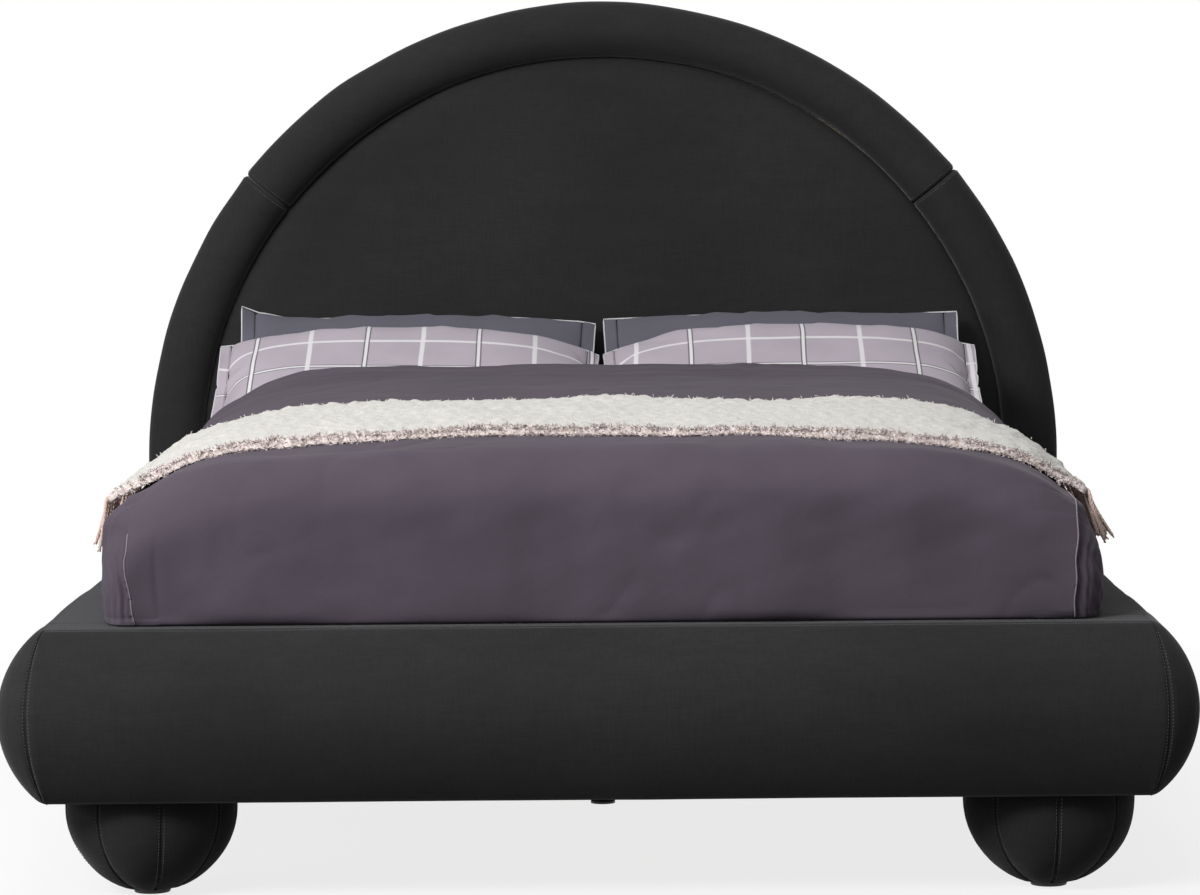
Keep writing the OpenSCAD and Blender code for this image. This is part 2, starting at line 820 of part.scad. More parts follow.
module mattress_block(inset) {
    r = mattress_edge_r - inset;
    hull() for (x = [-1, 1], y = [y_mattress, y_mattress + mattress_l], z = [deck_z, mattress_top]) {
        in_y = y == y_mattress ? mattress_edge_r : -mattress_edge_r;
        in_z = z == deck_z ? mattress_edge_r + cloth_gap : -mattress_edge_r;
        translate([x * (mattress_w / 2 - mattress_edge_r), y + in_y, z + in_z]) sphere(r = r, $fn = 24);
    }
}

module mattress_core() {
    color("ivory") mattress_block(ticking_t);
}

module mattress_cover() {
    color("whitesmoke") difference() {
        mattress_block(0);
        mattress_block(ticking_t);
    }
}

module edge_cord() {
    half_w = mattress_w / 2 - mattress_edge_r;
    half_l = mattress_l / 2 - mattress_edge_r;
    ring_r = mattress_edge_r + edge_cord_r;
    for (k = [0:3]) rotate([0, 0, 90 * k]) {
        long = k % 2 == 0 ? half_l : half_w;
        wide = k % 2 == 0 ? half_w : half_l;
        translate([wide, long, 0]) rotate_extrude(angle = 90)
            translate([ring_r, 0]) circle(r = edge_cord_r, $fn = 16);
        translate([wide + ring_r, long, 0]) rotate([90, 0, 0])
            cylinder(r = edge_cord_r, h = 2 * long, $fn = 16);
    }
}

module mattress_edge_cords() {
    color("gainsboro") for (z = [deck_z + cloth_gap + mattress_edge_r, mattress_top - mattress_edge_r])
        translate([0, y_mattress + mattress_l / 2, z]) edge_cord();
}

// Pillows: a crowned pad with a sewn edge, lying on its belly and sloping up towards the headboard

pillow_steps_x = 14;
pillow_steps_y = 12;

function pillow_full(s, t) = pow((1 - pow(s, 4)) * (1 - pow(t, 4)), 0.6);
function pillow_point(s, t, w, h, height) = [
    s * (w / 2 - pillow_draw * (1 - t * t)), h / 2 + t * (h / 2 - pillow_draw * (1 - s * s)), height];

// The points of a pillow's upper or lower side across its height, at a share of its half width
function pillow_upper(s, w, h, above) =
    [for (j = [0:pillow_steps_y]) let (t = cos(180 * j / pillow_steps_y))
        pillow_point(s, t, w, h, pillow_edge_t / 2 + above * pillow_full(s, t))];
function pillow_lower(s, w, h, below) =
    [for (j = [pillow_steps_y:-1:0]) let (t = cos(180 * j / pillow_steps_y))
        pillow_point(s, t, w, h, -pillow_edge_t / 2 - below * pillow_full(s, t))];

// Points of a sloping pillow, as [height, distance along the bed], from its sewn side to its middle
function sloped(run, tilt) = [for (p = run)
    [p[1] * sin(tilt) + p[2] * cos(tilt), p[1] * cos(tilt) - p[2] * sin(tilt)]];
function underside(w, h, below, tilt) =
    [for (i = [0:pillow_steps_x]) each sloped(pillow_lower(1 - i / pillow_steps_x, w, h, below), tilt)];
function lowest(run) = min([for (p = run) p[0]]);
function foremost(run) = min([for (p = run) p[1]]);
function rearmost(run) = max([for (p = run) p[1]]);

rear_face = sloped(pillow_upper(0, rear_pillow_w, rear_pillow_h, rear_above), rear_tilt);
rear_under = underside(rear_pillow_w, rear_pillow_h, rear_below, rear_tilt);
front_belly = sloped(pillow_lower(0, front_pillow_w, front_pillow_h, front_below), front_tilt);
front_under = underside(front_pillow_w, front_pillow_h, front_below, front_tilt);

// Each pillow rests on the mattress, and a front pillow leans against the rear one's upper side
rear_pillow_z = mattress_top + cloth_gap - lowest(rear_under);
front_pillow_z = mattress_top + cloth_gap - lowest(front_under);
y_rear_pillow = y_head - border_proud - rear_pillow_gap - rearmost(rear_under);
y_front_pillow = y_rear_pillow - cloth_gap / sin(rear_tilt)
    + min([for (p = front_belly) lookup(p[0] + front_pillow_z - rear_pillow_z, rear_face) - p[1]]);

module pillow(w, h, above, below) {
    skin([for (i = [0:pillow_steps_x]) let (s = -cos(180 * i / pillow_steps_x))
        concat(pillow_upper(s, w, h, above), pillow_lower(s, w, h, below))]);
}

module rear_pillow(side) {
    color("slategray") translate([side * (rear_pillow_w + pillow_gap) / 2, y_rear_pillow, rear_pillow_z])
        rotate([rear_tilt, 0, 0]) pillow(rear_pillow_w, rear_pillow_h, rear_above, rear_below);
}

module front_pillow(side) {
    color("thistle") translate([side * (front_pillow_w + pillow_gap) / 2, y_front_pillow, front_pillow_z])
        rotate([front_tilt, 0, 0]) pillow(front_pillow_w, front_pillow_h, front_above, front_below);
}

module pillow_rear_left() rear_pillow(-1);
module pillow_rear_right() rear_pillow(1);
module pillow_front_left() front_pillow(-1);
module pillow_front_right() front_pillow(1);

// Duvet and throw: sections across the bed, with a round shoulder that falls to steep sides

duvet_half = mattress_w / 2 + duvet_side;
duvet_y = y_mattress - duvet_foot;
duvet_end = y_front_pillow + foremost(front_under) - duvet_gap;
duvet_hem = rail_top + cloth_gap;

// The shoulder is a superellipse that stands on a short upright stretch above the hem
shoulder_z = duvet_hem + duvet_upright;
shoulder_p = 7;
shoulder_q = 2.2;
shoulder_x = 0.93;
crown = 11;
side_steps = 4;
top_steps = 18;

// Height of the duvet's shoulder curve above shoulder_z, as a share, at a share of the half width
function over(g) = pow(1 - pow(abs(g), shoulder_p), 1 / shoulder_q);
function beside(f) = pow(1 - pow(f, shoulder_q), 1 / shoulder_p);

// The duvet's full height above shoulder_z at a place along the bed
function duvet_rise(y) = mattress_top - shoulder_z + duvet_loft_foot
    + (duvet_loft_head - duvet_loft_foot) * (y - duvet_y) / (duvet_end - duvet_y);

// Half of a section, as [x, z], for the right-hand side: up the steep side and then across the top
function top_half(w, rise) = [for (k = [0:top_steps / 2 - 1]) let (g = shoulder_x * (1 - 2 * k / top_steps))
    [w * g, shoulder_z + rise * over(g) - crown * g * g]];
function side_half(w, rise, fold) =
    [for (k = [0:side_steps - 1]) let (f = over(shoulder_x) * k / side_steps)
        [w * beside(f) - fold * (1 - k / side_steps), shoulder_z + rise * f]];
function flip(run) = [for (i = [len(run) - 1:-1:0]) [-run[i][0], run[i][1]]];
function whole(half, top) = concat(half, [[0, top]], flip(half));
function at_y(run, y) = [for (p = run) [p[0], y, p[1]]];
function backwards(run) = [for (i = [len(run) - 1:-1:0]) run[i]];

duvet_inner_x = mattress_w / 2 + edge_cord_r * 2 + cloth_gap;
duvet_inner_z = mattress_top + cloth_gap;
inner_mid_x = mattress_w / 2 - mattress_edge_r;
inner_mid_z = mattress_top - mattress_edge_r;
inner_steps = 6;
flat_steps = side_steps + top_steps / 2 - 1 - inner_steps;

// The hollow side of a section: up beside the mattress, round its edge and across its top
inner_half = concat(
    [for (z = [duvet_hem, (duvet_hem + inner_mid_z) / 2, inner_mid_z]) [duvet_inner_x, z]],
    arc(inner_mid_x, inner_mid_z, duvet_inner_x - inner_mid_x, duvet_inner_z - inner_mid_z,
        0, 90, inner_steps),
    [for (k = [1:flat_steps - 1]) [inner_mid_x * (1 - k / flat_steps), duvet_inner_z]]);
flat_half = [for (k = [0:side_steps + top_steps / 2])
    [duvet_inner_x * (1 - k / (side_steps + top_steps / 2 + 1)), duvet_hem]];

// How full the duvet is at a place along the bed: it rounds over at its foot and at its folded head end
round_foot = 95;
round_head = 70;
foot_share = 0.6;
head_share = 0.72;
foot_taper = 14;
function rounding(a) = sqrt(1 - pow(1 - min(1, a), 2));
function fullness(y) = min(foot_share + (1 - foot_share) * rounding((y - duvet_y) / round_foot),
                           head_share + (1 - head_share) * rounding((duvet_end - y) / round_head));
function narrowing(y) = foot_taper * (1 - rounding((y - duvet_y) / round_foot));

// The throw lies across the bed between these places, and soft folds run down the duvet's sides behind it
throw_ends = [y_tip + throw_y, y_tip + throw_y + throw_w];
fold_y = throw_ends[1];
fold_steps = 8;
fold_pitch = 240;
function fold_at(y) = y < fold_y ? 0
    : duvet_fold * (1 - cos((y - fold_y) * 360 / fold_pitch)) / 2 * min(1, (duvet_end - y) / round_head);

function duvet_run(y) = let (rise = duvet_rise(y) * fullness(y), w = duvet_half - narrowing(y))
    whole(concat([[w, duvet_hem]], side_half(w, rise, fold_at(y)), top_half(w, rise)), shoulder_z + rise);

// The duvet is solid in front of the mattress's foot and hollow behind it
wall_y = y_mattress - cloth_gap - edge_cord_r * 2;
duvet_stations = concat(
    [for (t = [0, 0.06, 0.25, 0.6]) duvet_y + t * (wall_y - duvet_y)], [wall_y - 1, wall_y],
    [duvet_y + round_foot], throw_ends,
    [for (t = [1:fold_steps]) fold_y + t * (duvet_end - round_head - fold_y) / fold_steps],
    [for (t = [0.4, 0.75, 0.95, 1]) duvet_end - round_head * (1 - t)]);
function duvet_underside(y) = y < wall_y ? whole(flat_half, duvet_hem) : whole(inner_half, duvet_inner_z);

module duvet() {
    color("dimgray") skin([for (y = backwards(duvet_stations))
        concat(at_y(duvet_run(y), y), at_y(backwards(duvet_underside(y)), y))]);
}

// A face of the throw, grown out from the duvet by a distance, with its fringe hanging below the hem
throw_hem = mattress_top - throw_drop;
function throw_run(y, grow, low) = let (w = duvet_half + grow, rise = duvet_rise(y) + grow)
    whole(concat([[w - low, throw_hem - fringe_l], [w, throw_hem]],
                 [side_half(w, rise, 0)[side_steps - 1]], top_half(w, rise)), shoulder_z + rise);

module throw() {
    color("gainsboro") skin([for (y = backwards(throw_ends))
        concat(at_y(throw_run(y, cloth_gap + throw_t, throw_t - fringe_t), y),
               at_y(backwards(throw_run(y, cloth_gap, 0)), y))]);
}

headboard_face_board();
headboard_back_board();
headboard_posts();
headboard_cross_rails();
headboard_rim();
headboard_mount_rail();
headboard_panel();
headboard_border_left();
headboard_border_top();
headboard_border_right();
headboard_back_cover();
footboard_board();
footboard_foam();
footboard_cover();
side_board_left();
side_foam_left();
side_cover_left();
side_board_right();
side_foam_right();
side_cover_right();
ledger_left();
ledger_right();
corner_blocks();
corner_brackets();
threaded_inserts();
frame_bolts();
foot_cover_front_left();
foot_cover_front_right();
foot_cover_rear_left();
foot_cover_rear_right();
foot_cores();
foot_studs();
foot_glides();
glide_screws();
slats();
slat_screws();
centre_beam();
beam_hangers();
centre_legs();
leg_plugs();
leveller_pad_front();
leveller_stem_front();
leveller_pad_rear();
leveller_stem_rear();
mattress_core();
mattress_cover();
mattress_edge_cords();
duvet();
throw();
pillow_rear_left();
pillow_rear_right();
pillow_front_left();
pillow_front_right();
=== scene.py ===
import math

import bmesh
import bpy
import numpy as np
from mathutils import Matrix, Vector
from mathutils.bvhtree import BVHTree


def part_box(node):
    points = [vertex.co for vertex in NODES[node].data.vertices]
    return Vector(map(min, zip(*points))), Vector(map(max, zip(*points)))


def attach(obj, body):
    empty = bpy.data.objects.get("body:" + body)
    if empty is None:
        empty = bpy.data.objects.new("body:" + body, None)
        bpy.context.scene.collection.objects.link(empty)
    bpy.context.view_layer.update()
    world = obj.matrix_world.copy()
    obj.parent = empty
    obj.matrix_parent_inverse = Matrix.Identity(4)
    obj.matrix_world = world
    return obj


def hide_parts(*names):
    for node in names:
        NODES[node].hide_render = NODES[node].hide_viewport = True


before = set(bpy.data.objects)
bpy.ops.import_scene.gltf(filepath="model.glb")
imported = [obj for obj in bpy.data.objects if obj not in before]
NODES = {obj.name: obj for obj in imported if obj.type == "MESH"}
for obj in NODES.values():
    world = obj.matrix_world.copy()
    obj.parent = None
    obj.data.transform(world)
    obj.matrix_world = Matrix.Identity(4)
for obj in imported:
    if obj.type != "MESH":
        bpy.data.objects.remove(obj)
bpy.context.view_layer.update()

# Sizes in metres, in the frame: +X right, +Y towards the headboard, +Z up
TIP, FOOT, HEAD, BACK = -1.1655, -0.9975, 1.0505, 1.1655
IN_X, TURN_X, CORNER_R = 0.770, 0.863, 0.075
RAIL_D, TURN_U, RAIL_Z, RAIL_H = 0.168, 0.093, 0.163, 0.275
RAIL_TOP = RAIL_Z + RAIL_H
ARCH_Z, HEAD_R, SEAM_R, CORE_R, PAD_Y = 0.556, 0.928, 0.818, 0.903, 0.073
BALL_R, BALL_Z, BALL_X, BALL_Y = 0.1375, 0.1395, 0.718, (-0.9405, 0.9935)
MATTRESS_MID, MATTRESS_HALF, MATTRESS_EDGE = np.array([0, 0.0265, 0.4855]), np.array([0.762, 1.016, 0.135]), 0.035
TAU = 2 * math.pi


# Numbers and fields

def waves(p, length, seed, count=14):
    """A smooth, repeatable random field over points, between about -1 and 1."""
    rng = np.random.default_rng(seed)
    d = rng.normal(size=(count, 3))
    d /= np.linalg.norm(d, axis=1)[:, None]
    k = TAU / (length * rng.uniform(0.7, 1.5, count))
    return np.sin((p @ d.T) * k + rng.uniform(0, TAU, count)).sum(1) / math.sqrt(count)


def bell(d, width):
    return np.exp(-(d / width) ** 2)


def ripples(way, pitch, drift, p, length, seed):
    """Gathers along a way, whose phase drifts from place to place."""
    return np.sin(way * TAU / pitch + drift * waves(p, length, seed))


def ramp(v):
    return np.clip(v, 0, 1)


def rounding(a):
    """A quarter circle's rise, from 0 at 0 to 1 at 1."""
    return np.sqrt(1 - (1 - ramp(a)) ** 2)


def unit(v, tiny=0.0):
    return v / (np.linalg.norm(v, axis=-1, keepdims=True) + tiny)


def lattice(*xyz):
    """An array of points from three coordinates, each an array or one number."""
    return np.stack(np.broadcast_arrays(*xyz), -1)


def mesh_grid(a, b):
    return np.meshgrid(a, b, indexing="ij")


def way_along(line):
    """The way run along a line of points at each of them."""
    return np.r_[0, np.cumsum(np.linalg.norm(np.diff(line, axis=0), axis=1))]


def steps(marks, pitch):
    """Increasing values through all marks, at most pitch apart."""
    out = [marks[0]]
    for a, b in zip(marks, marks[1:]):
        n = max(1, math.ceil((b - a) / pitch - 1e-6))
        out += [a + (b - a) * i / n for i in range(1, n + 1)]
    return np.array(out)


def near(values, at, offsets=(-0.012, -0.007, -0.004, -0.002, 0, 0.002, 0.004, 0.007, 0.012)):
    """The values with a few more set closely about some places, where a seam will be."""
    extra = [a + o for a in at for o in offsets]
    keep = [v for v in values if all(abs(v - a) > 0.014 for a in at)]
    low, high = min(values), max(values)
    return np.array(sorted(keep + [e for e in extra if low <= e <= high] + [low, high]))


# Meshes

def grid(rows, cols, wrap_rows=False, wrap_cols=False):
    """Quads over a rows x cols lattice of points."""
    r, c = mesh_grid(np.arange(rows - (not wrap_rows)), np.arange(cols - (not wrap_cols)))
    near_row, far_row, far_col = r * cols, (r + 1) % rows * cols, (c + 1) % cols
    return lattice(near_row + c, near_row + far_col, far_row + far_col, far_row + c).reshape(-1, 4)


def sheet(points, **wraps):
    """A part whose points lie in rows and columns."""
    return points.reshape(-1, 3), grid(*points.shape[:2], **wraps)


def build(name, parts, body, nodes=(), slot=None, subsurf=0, weld=2e-5, close=True, mat=None, shape=None):
    """A piece from parts, each (points, faces): welded, closed, shaped by a field along its normals, and placed."""
    mesh = bpy.data.meshes.new(name)
    bm = bmesh.new()
    for points, faces in parts:
        vs = [bm.verts.new(p) for p in np.asarray(points, float).reshape(-1, 3)]
        for f in faces:
            ring = [vs[i] for i in dict.fromkeys(int(i) for i in f)]
            if len(ring) > 2:
                try:
                    bm.faces.new(ring)
                except ValueError:
                    pass
    bmesh.ops.remove_doubles(bm, verts=bm.verts, dist=weld)
    bmesh.ops.dissolve_degenerate(bm, dist=1e-6, edges=bm.edges)
    if close:
        bmesh.ops.holes_fill(bm, edges=[e for e in bm.edges if e.is_boundary], sides=0)
    bmesh.ops.recalc_face_normals(bm, faces=bm.faces)
    bm.to_mesh(mesh)
    bm.free()
    if shape:
        move(mesh, shape)
    return place(name, mesh, body, nodes, slot, subsurf, mat)


def add_object(name, data):
    ob = bpy.data.objects.new(name, data)
    bpy.context.scene.collection.objects.link(ob)
    return ob


def shade_smooth(mesh):
    mesh.polygons.foreach_set("use_smooth", np.full(len(mesh.polygons), True))


def place(name, mesh, body, nodes=(), slot=None, subsurf=0, mat=None):
    ob = add_object(name, mesh)
    shade_smooth(mesh)
    if mat:
        mesh.materials.append(mat)
    if subsurf:
        m = ob.modifiers.new("smooth", "SUBSURF")
        m.levels = m.render_levels = subsurf
    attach(ob, body)
    if nodes:
        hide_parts(*nodes)
    return ob


def vectors(items, name):
    out = np.empty(len(items) * 3)
    items.foreach_get(name, out)
    return out.reshape(-1, 3)


def move(mesh, shape):
    """Moves every point along its normal by shape(points, normals), in metres."""
    p, n = vectors(mesh.vertices, "co"), vectors(mesh.vertex_normals, "vector")
    mesh.vertices.foreach_set("co", (p + n * shape(p, n)[:, None]).ravel())
    mesh.update()


def threads(line, out, pitch=0.0055, length=0.0036, r=0.0007, lift=0.0003, phase=0.0):
    """Sewing stitches along a line of points, lying on a surface with the given outward directions."""
    line, out = np.asarray(line, float), np.asarray(out, float)
    s = way_along(line)
    mids = np.arange(pitch * (0.5 + phase), s[-1] - length / 2, pitch)
    at = lambda q, arr: np.stack([np.interp(q, s, arr[:, k]) for k in range(3)], 1)
    a, b, n = at(mids - length / 2, line), at(mids + length / 2, line), unit(at(mids, out))
    side = np.cross(unit(b - a, 1e-12), n)
    c = (a + b) / 2 + n * lift
    pts = np.stack([a - n * r, c + n * r, c + side * r, c - side * r, b - n * r], 1)
    tri = np.array([[0, 2, 1], [0, 1, 3], [4, 1, 2], [4, 3, 1], [0, 3, 2], [4, 2, 3]])
    faces = (np.arange(len(mids))[:, None, None] * 5 + tri).reshape(-1, 3)
    return pts.reshape(-1, 3), faces


def tube(line, r, sides=8, closed=False):
    """A round tube along points."""
    p = np.asarray(line, float)
    t = unit(np.roll(p, -1, 0) - np.roll(p, 1, 0) if closed else np.gradient(p, axis=0), 1e-12)
    up = np.array([0.13, 0.21, 0.97]) if abs(t[:, 2]).mean() < 0.8 else np.array([0.97, 0.21, 0.13])
    u = unit(np.cross(t, up))
    v = np.cross(t, u)
    a = np.arange(sides)[:, None] * TAU / sides
    r = np.broadcast_to(np.asarray(r, float), (len(p),))
    return sheet(p[:, None] + r[:, None, None] * (np.cos(a) * u[:, None] + np.sin(a) * v[:, None]), wrap_rows=closed,
                 wrap_cols=True)


# Materials

class Tree:
    """A shader's node tree and short ways to make its nodes."""

    def __init__(self, owner):
        owner.use_nodes = True
        self.t = owner.node_tree

    def link(self, a, b):
        self.t.links.new(a, b)

    def feed(self, sock, v):
        if isinstance(v, bpy.types.NodeSocket):
            self.link(v, sock)
        else:
            sock.default_value = v

    def node(self, kind, **inputs):
        """A node whose inputs are given by name, or as i0, i1 and so on by number."""
        n = self.t.nodes.new("ShaderNode" + kind)
        for k, v in inputs.items():
            self.feed(n.inputs[int(k[1:]) if k[0] == "i" and k[1:].isdigit() else k.replace("_", " ")], v)
        return n

    def math(self, op, a, b=0.0, c=0.0):
        n = self.node("Math", i0=a, i1=b, i2=c)
        n.operation = op
        return n.outputs[0]

    def times(self, a, b):
        return self.math("MULTIPLY", a, b)

    def seen(self):
        """One for rays that come from the camera, from a glossy face or through glass."""
        path = self.node("LightPath").outputs
        return self.math("MAXIMUM", self.math("MAXIMUM", path["Is Camera Ray"], path["Is Glossy Ray"]),
                         path["Is Transmission Ray"])


class Mat(Tree):
    """A procedural material: a Principled shader and short ways to make the nodes that feed it."""

    def __init__(self, name, color, rough, **sockets):
        self.m = bpy.data.materials.new(name)
        super().__init__(self.m)
        self.b = self.t.nodes["Principled BSDF"]
        self.m.diffuse_color = (*color, 1)
        for k, v in dict(sockets, Base_Color=(*color, 1), Roughness=rough).items():
            self.b.inputs[k.replace("_", " ")].default_value = v
        self.at = self.t.nodes.new("ShaderNodeTexCoord").outputs["Object"]
        self.height = None

    def scaled(self, x, y, z, at=None):
        return self.node("Mapping", Vector=at or self.at, Scale=(x, y, z)).outputs[0]

    def noise(self, scale, detail=3.0, rough=0.55, at=None):
        return self.node("TexNoise", Vector=at or self.at, Scale=scale, Detail=detail, Roughness=rough).outputs["Fac"]

    def band(self, v, low, high, to_low=0.0, to_high=1.0):
        return self.node("MapRange", Value=v, From_Min=low, From_Max=high, To_Min=to_low, To_Max=to_high).outputs[0]

    def mix(self, fac, a, b):
        n = self.t.nodes.new("ShaderNodeMix")
        n.data_type = "RGBA"
        for k, v in ((0, fac), (6, a), (7, b)):
            self.feed(n.inputs[k], (*v, 1) if isinstance(v, tuple) else v)
        return n.outputs[2]

    def bump(self, height, distance, strength=1.0):
        n = self.node("Bump", Height=height, Distance=distance, Strength=strength)
        if self.height:
            self.link(self.height, n.inputs["Normal"])
        self.height = n.outputs[0]
        self.link(self.height, self.b.inputs["Normal"])

    def paint(self, color):
        self.color = color
        self.link(color, self.b.inputs["Base Color"])

    def roughness(self, v):
        self.link(v, self.b.inputs["Roughness"])


def srgb(*v):
    return tuple((c / 255 / 12.92) if c / 255 <= 0.04045 else ((c / 255 + 0.055) / 1.055) ** 2.4 for c in v)


def tone(c, k):
    return tuple(min(1.0, x * k) for x in c)


def weave(m, pitch, strength=0.5, deep=0.0004):
    """Crossed threads: noise drawn out along each direction of the cloth."""
    k = 1 / pitch
    a = m.noise(1.0, 0.0, at=m.scaled(k, k * 0.5, k * 0.1))
    b = m.noise(1.0, 0.0, at=m.scaled(k * 0.1, k * 0.5, k))
    h = m.math("ADD", a, b)
    m.bump(h, deep, strength)
    return h


def make_velvet():
    c = srgb(43, 43, 43)
    m = Mat("velvet", c, 0.92, Sheen_Weight=0.30, Sheen_Roughness=0.40, Sheen_Tint=(*srgb(190, 190, 196), 1),
            Specular_IOR_Level=0.06)
    nap = m.band(m.noise(2.6, 1.0), 0.32, 0.68)
    brushed = m.band(m.noise(1.0, 1.0, at=m.scaled(9, 9, 34)), 0.4, 0.75)
    pile = m.noise(620.0, 0.0)
    yarns = weave(m, 0.0034, 0.35, 0.0005)
    col = m.mix(nap, tone(c, 0.86), tone(c, 1.12))
    col = m.mix(m.times(brushed, 0.18), col, tone(c, 1.55))
    col = m.mix(m.band(yarns, 0.75, 1.3, 0.0, 0.35), col, tone(c, 0.6))
    col = m.mix(m.band(pile, 0.35, 0.7, 0.0, 0.35), col, tone(c, 1.35))
    m.paint(col)
    m.bump(pile, 0.0006, 0.45)
    m.bump(m.noise(38.0, 0.0), 0.0016, 0.22)
    return m.m


def make_thread(name, color):
    m = Mat(name, color, 0.6, Sheen_Weight=0.2)
    m.paint(m.mix(m.noise(900.0), tone(color, 0.7), tone(color, 1.25)))
    m.bump(m.noise(1400.0), 0.0003, 0.6)
    return m.m


def make_wood(name, light, dark, along):
    rough = 0.55
    m = Mat(name, light, rough, Specular_IOR_Level=0.35)
    drawn_out = lambda across, lengthwise: m.scaled(*(lengthwise if k == along else across for k in range(3)))
    fibre = m.noise(1.0, 5.0, 0.65, at=drawn_out(90.0, 3.0))
    figure = m.noise(1.0, 2.0, 0.5, at=drawn_out(26.0, 1.2))
    rings = m.math("SINE", m.times(figure, 60.0))
    col = m.mix(m.band(rings, -0.7, 1.0), light, tone(dark, 1.15))
    col = m.mix(m.band(fibre, 0.45, 0.75, 0.0, 0.55), col, dark)
    m.paint(col)
    m.roughness(m.band(fibre, 0.3, 0.7, rough - 0.08, rough + 0.14))
    m.bump(fibre, 0.0006, 0.5)
    return m.m


def make_ply(name, light, dark):
    """Plywood: long figure on the faces and fine layers on the edges, one third of them dark."""
    m = Mat(name, light, 0.6, Specular_IOR_Level=0.3)
    fibre = m.noise(1.0, 5.0, 0.65, at=m.scaled(60, 60, 4))
    layers = m.math("SINE", m.times(m.node("SeparateXYZ", Vector=m.at).outputs["Y"], 4190.0))
    col = m.mix(m.band(fibre, 0.35, 0.75), light, tone(light, 0.74))
    col = m.mix(m.band(layers, 0.2, 0.5, 0.0, 0.45), col, dark)
    m.paint(col)
    m.bump(fibre, 0.0004, 0.5)
    return m.m


def make_metal(name, color, rough, metallic=1.0, grain=240.0, coat=0.0):
    """Bare metal with a fine grain, or painted metal where metallic is 0."""
    m = Mat(name, color, rough, Metallic=metallic, Coat_Weight=coat)
    n = m.noise(grain, 4.0)
    m.paint(m.mix(m.band(n, 0.3, 0.7), tone(color, 0.8), tone(color, 1.12)))
    m.roughness(m.band(m.noise(35.0, 4.0), 0.3, 0.7, rough - 0.07, rough + 0.12))
    m.bump(n, 0.0002, 0.35)
    return m.m


def make_plastic(name, color):
    m = Mat(name, color, 0.5, Specular_IOR_Level=0.45)
    n = m.noise(700.0, 2.0)
    m.paint(m.mix(m.band(m.noise(30.0), 0.3, 0.7), tone(color, 0.85), tone(color, 1.25)))
    m.roughness(m.band(n, 0.3, 0.7, 0.42, 0.62))
    m.bump(n, 0.0002, 0.5)
    return m.m


def make_foam(name, color):
    m = Mat(name, color, 0.95)
    v = m.node("TexVoronoi", Vector=m.at, Scale=420.0).outputs["Distance"]
    m.paint(m.mix(m.band(v, 0.1, 0.6), tone(color, 0.8), color))
    m.bump(v, 0.0006, 0.8)
    return m.m


def make_ticking(name, color):
    m = Mat(name, color, 0.85, Sheen_Weight=0.15)
    h = weave(m, 0.0024, 0.5, 0.0004)
    m.paint(m.mix(m.band(h, 0.75, 1.3), tone(color, 0.9), tone(color, 1.03)))
    m.bump(m.noise(55.0, 3.0), 0.002, 0.3)
    return m.m


VELVET = make_velvet()
VELVET_THREAD = make_thread("velvet_thread", srgb(70, 70, 73))
PINE_X = make_wood("pine_across", srgb(226, 198, 150), srgb(186, 146, 92), 0)
PINE_Y = make_wood("pine_along", srgb(224, 195, 146), srgb(184, 144, 90), 1)
PINE_Z = make_wood("pine_upright", srgb(222, 194, 148), srgb(182, 142, 90), 2)
PLY = make_ply("plywood", srgb(214, 186, 140), srgb(150, 110, 66))
BLACK_STEEL = make_metal("black_steel", srgb(30, 30, 32), 0.42, 0.0, 300.0, 0.2)
ZINC = make_metal("zinc_steel", srgb(196, 198, 202), 0.32)
BRASS = make_metal("turned_brass", srgb(205, 170, 95), 0.3)
PLASTIC = make_plastic("black_plastic", srgb(24, 24, 25))
FOAM = make_foam("foam", srgb(236, 226, 186))
TICKING = make_ticking("ticking", srgb(236, 234, 228))
TAPE = make_ticking("edge_tape", srgb(206, 204, 200))

CARRIED = {
    PLY: ["headboard_face_board", "headboard_back_board", "headboard_rim", "headboard_mount_rail", "footboard_board",
          "side_board_left", "side_board_right", "corner_blocks"],
    PINE_Z: ["headboard_posts", "foot_cores"],
    PINE_X: ["headboard_cross_rails", "slats"],
    PINE_Y: ["ledger_left", "ledger_right", "centre_beam"],
    FOAM: ["footboard_foam", "side_foam_left", "side_foam_right", "mattress_core"],
    BLACK_STEEL: ["corner_brackets", "beam_hangers", "centre_legs"],
    ZINC: ["frame_bolts", "foot_studs", "glide_screws", "slat_screws", "leveller_stem_front", "leveller_stem_rear"],
    BRASS: ["threaded_inserts"],
    PLASTIC: ["foot_glides", "leg_plugs", "leveller_pad_front", "leveller_pad_rear"],
    TAPE: ["mattress_edge_cords"],
}
for material, names in CARRIED.items():
    for n in names:
        NODES[n].data.materials.clear()
        NODES[n].data.materials.append(material)


# Rails and footboard

def rail_profile():
    """The rail's section from the top's inner edge over the bulge to the underside's inner edge, as (out, up)."""
    r, big, ez = 0.025, 0.173, 0.1125
    eu = RAIL_D - big + math.sqrt((big - r) ** 2 - ez ** 2)
    ea = math.atan2(ez, eu - (RAIL_D - big))
    mid = RAIL_H / 2
    out = [(u, RAIL_H) for u in (0.0, 0.004, 0.02, 0.05, TURN_U - 0.004)]
    first = math.acos((TURN_U - eu) / r)
    out += [(eu + r * math.cos(a), mid + ez + r * math.sin(a)) for a in np.linspace(first, ea, 9)]
    out += [(RAIL_D - big + big * math.cos(a), mid + big * math.sin(a)) for a in np.linspace(ea, -ea, 40)[1:]]
    out += [(eu + r * math.cos(a), mid - ez + r * math.sin(a)) for a in np.linspace(-ea, -first, 9)[1:]]
    out += [(u, 0.0) for u in (TURN_U - 0.004, 0.05, 0.02, 0.004, 0.0)]
    return np.array(out)


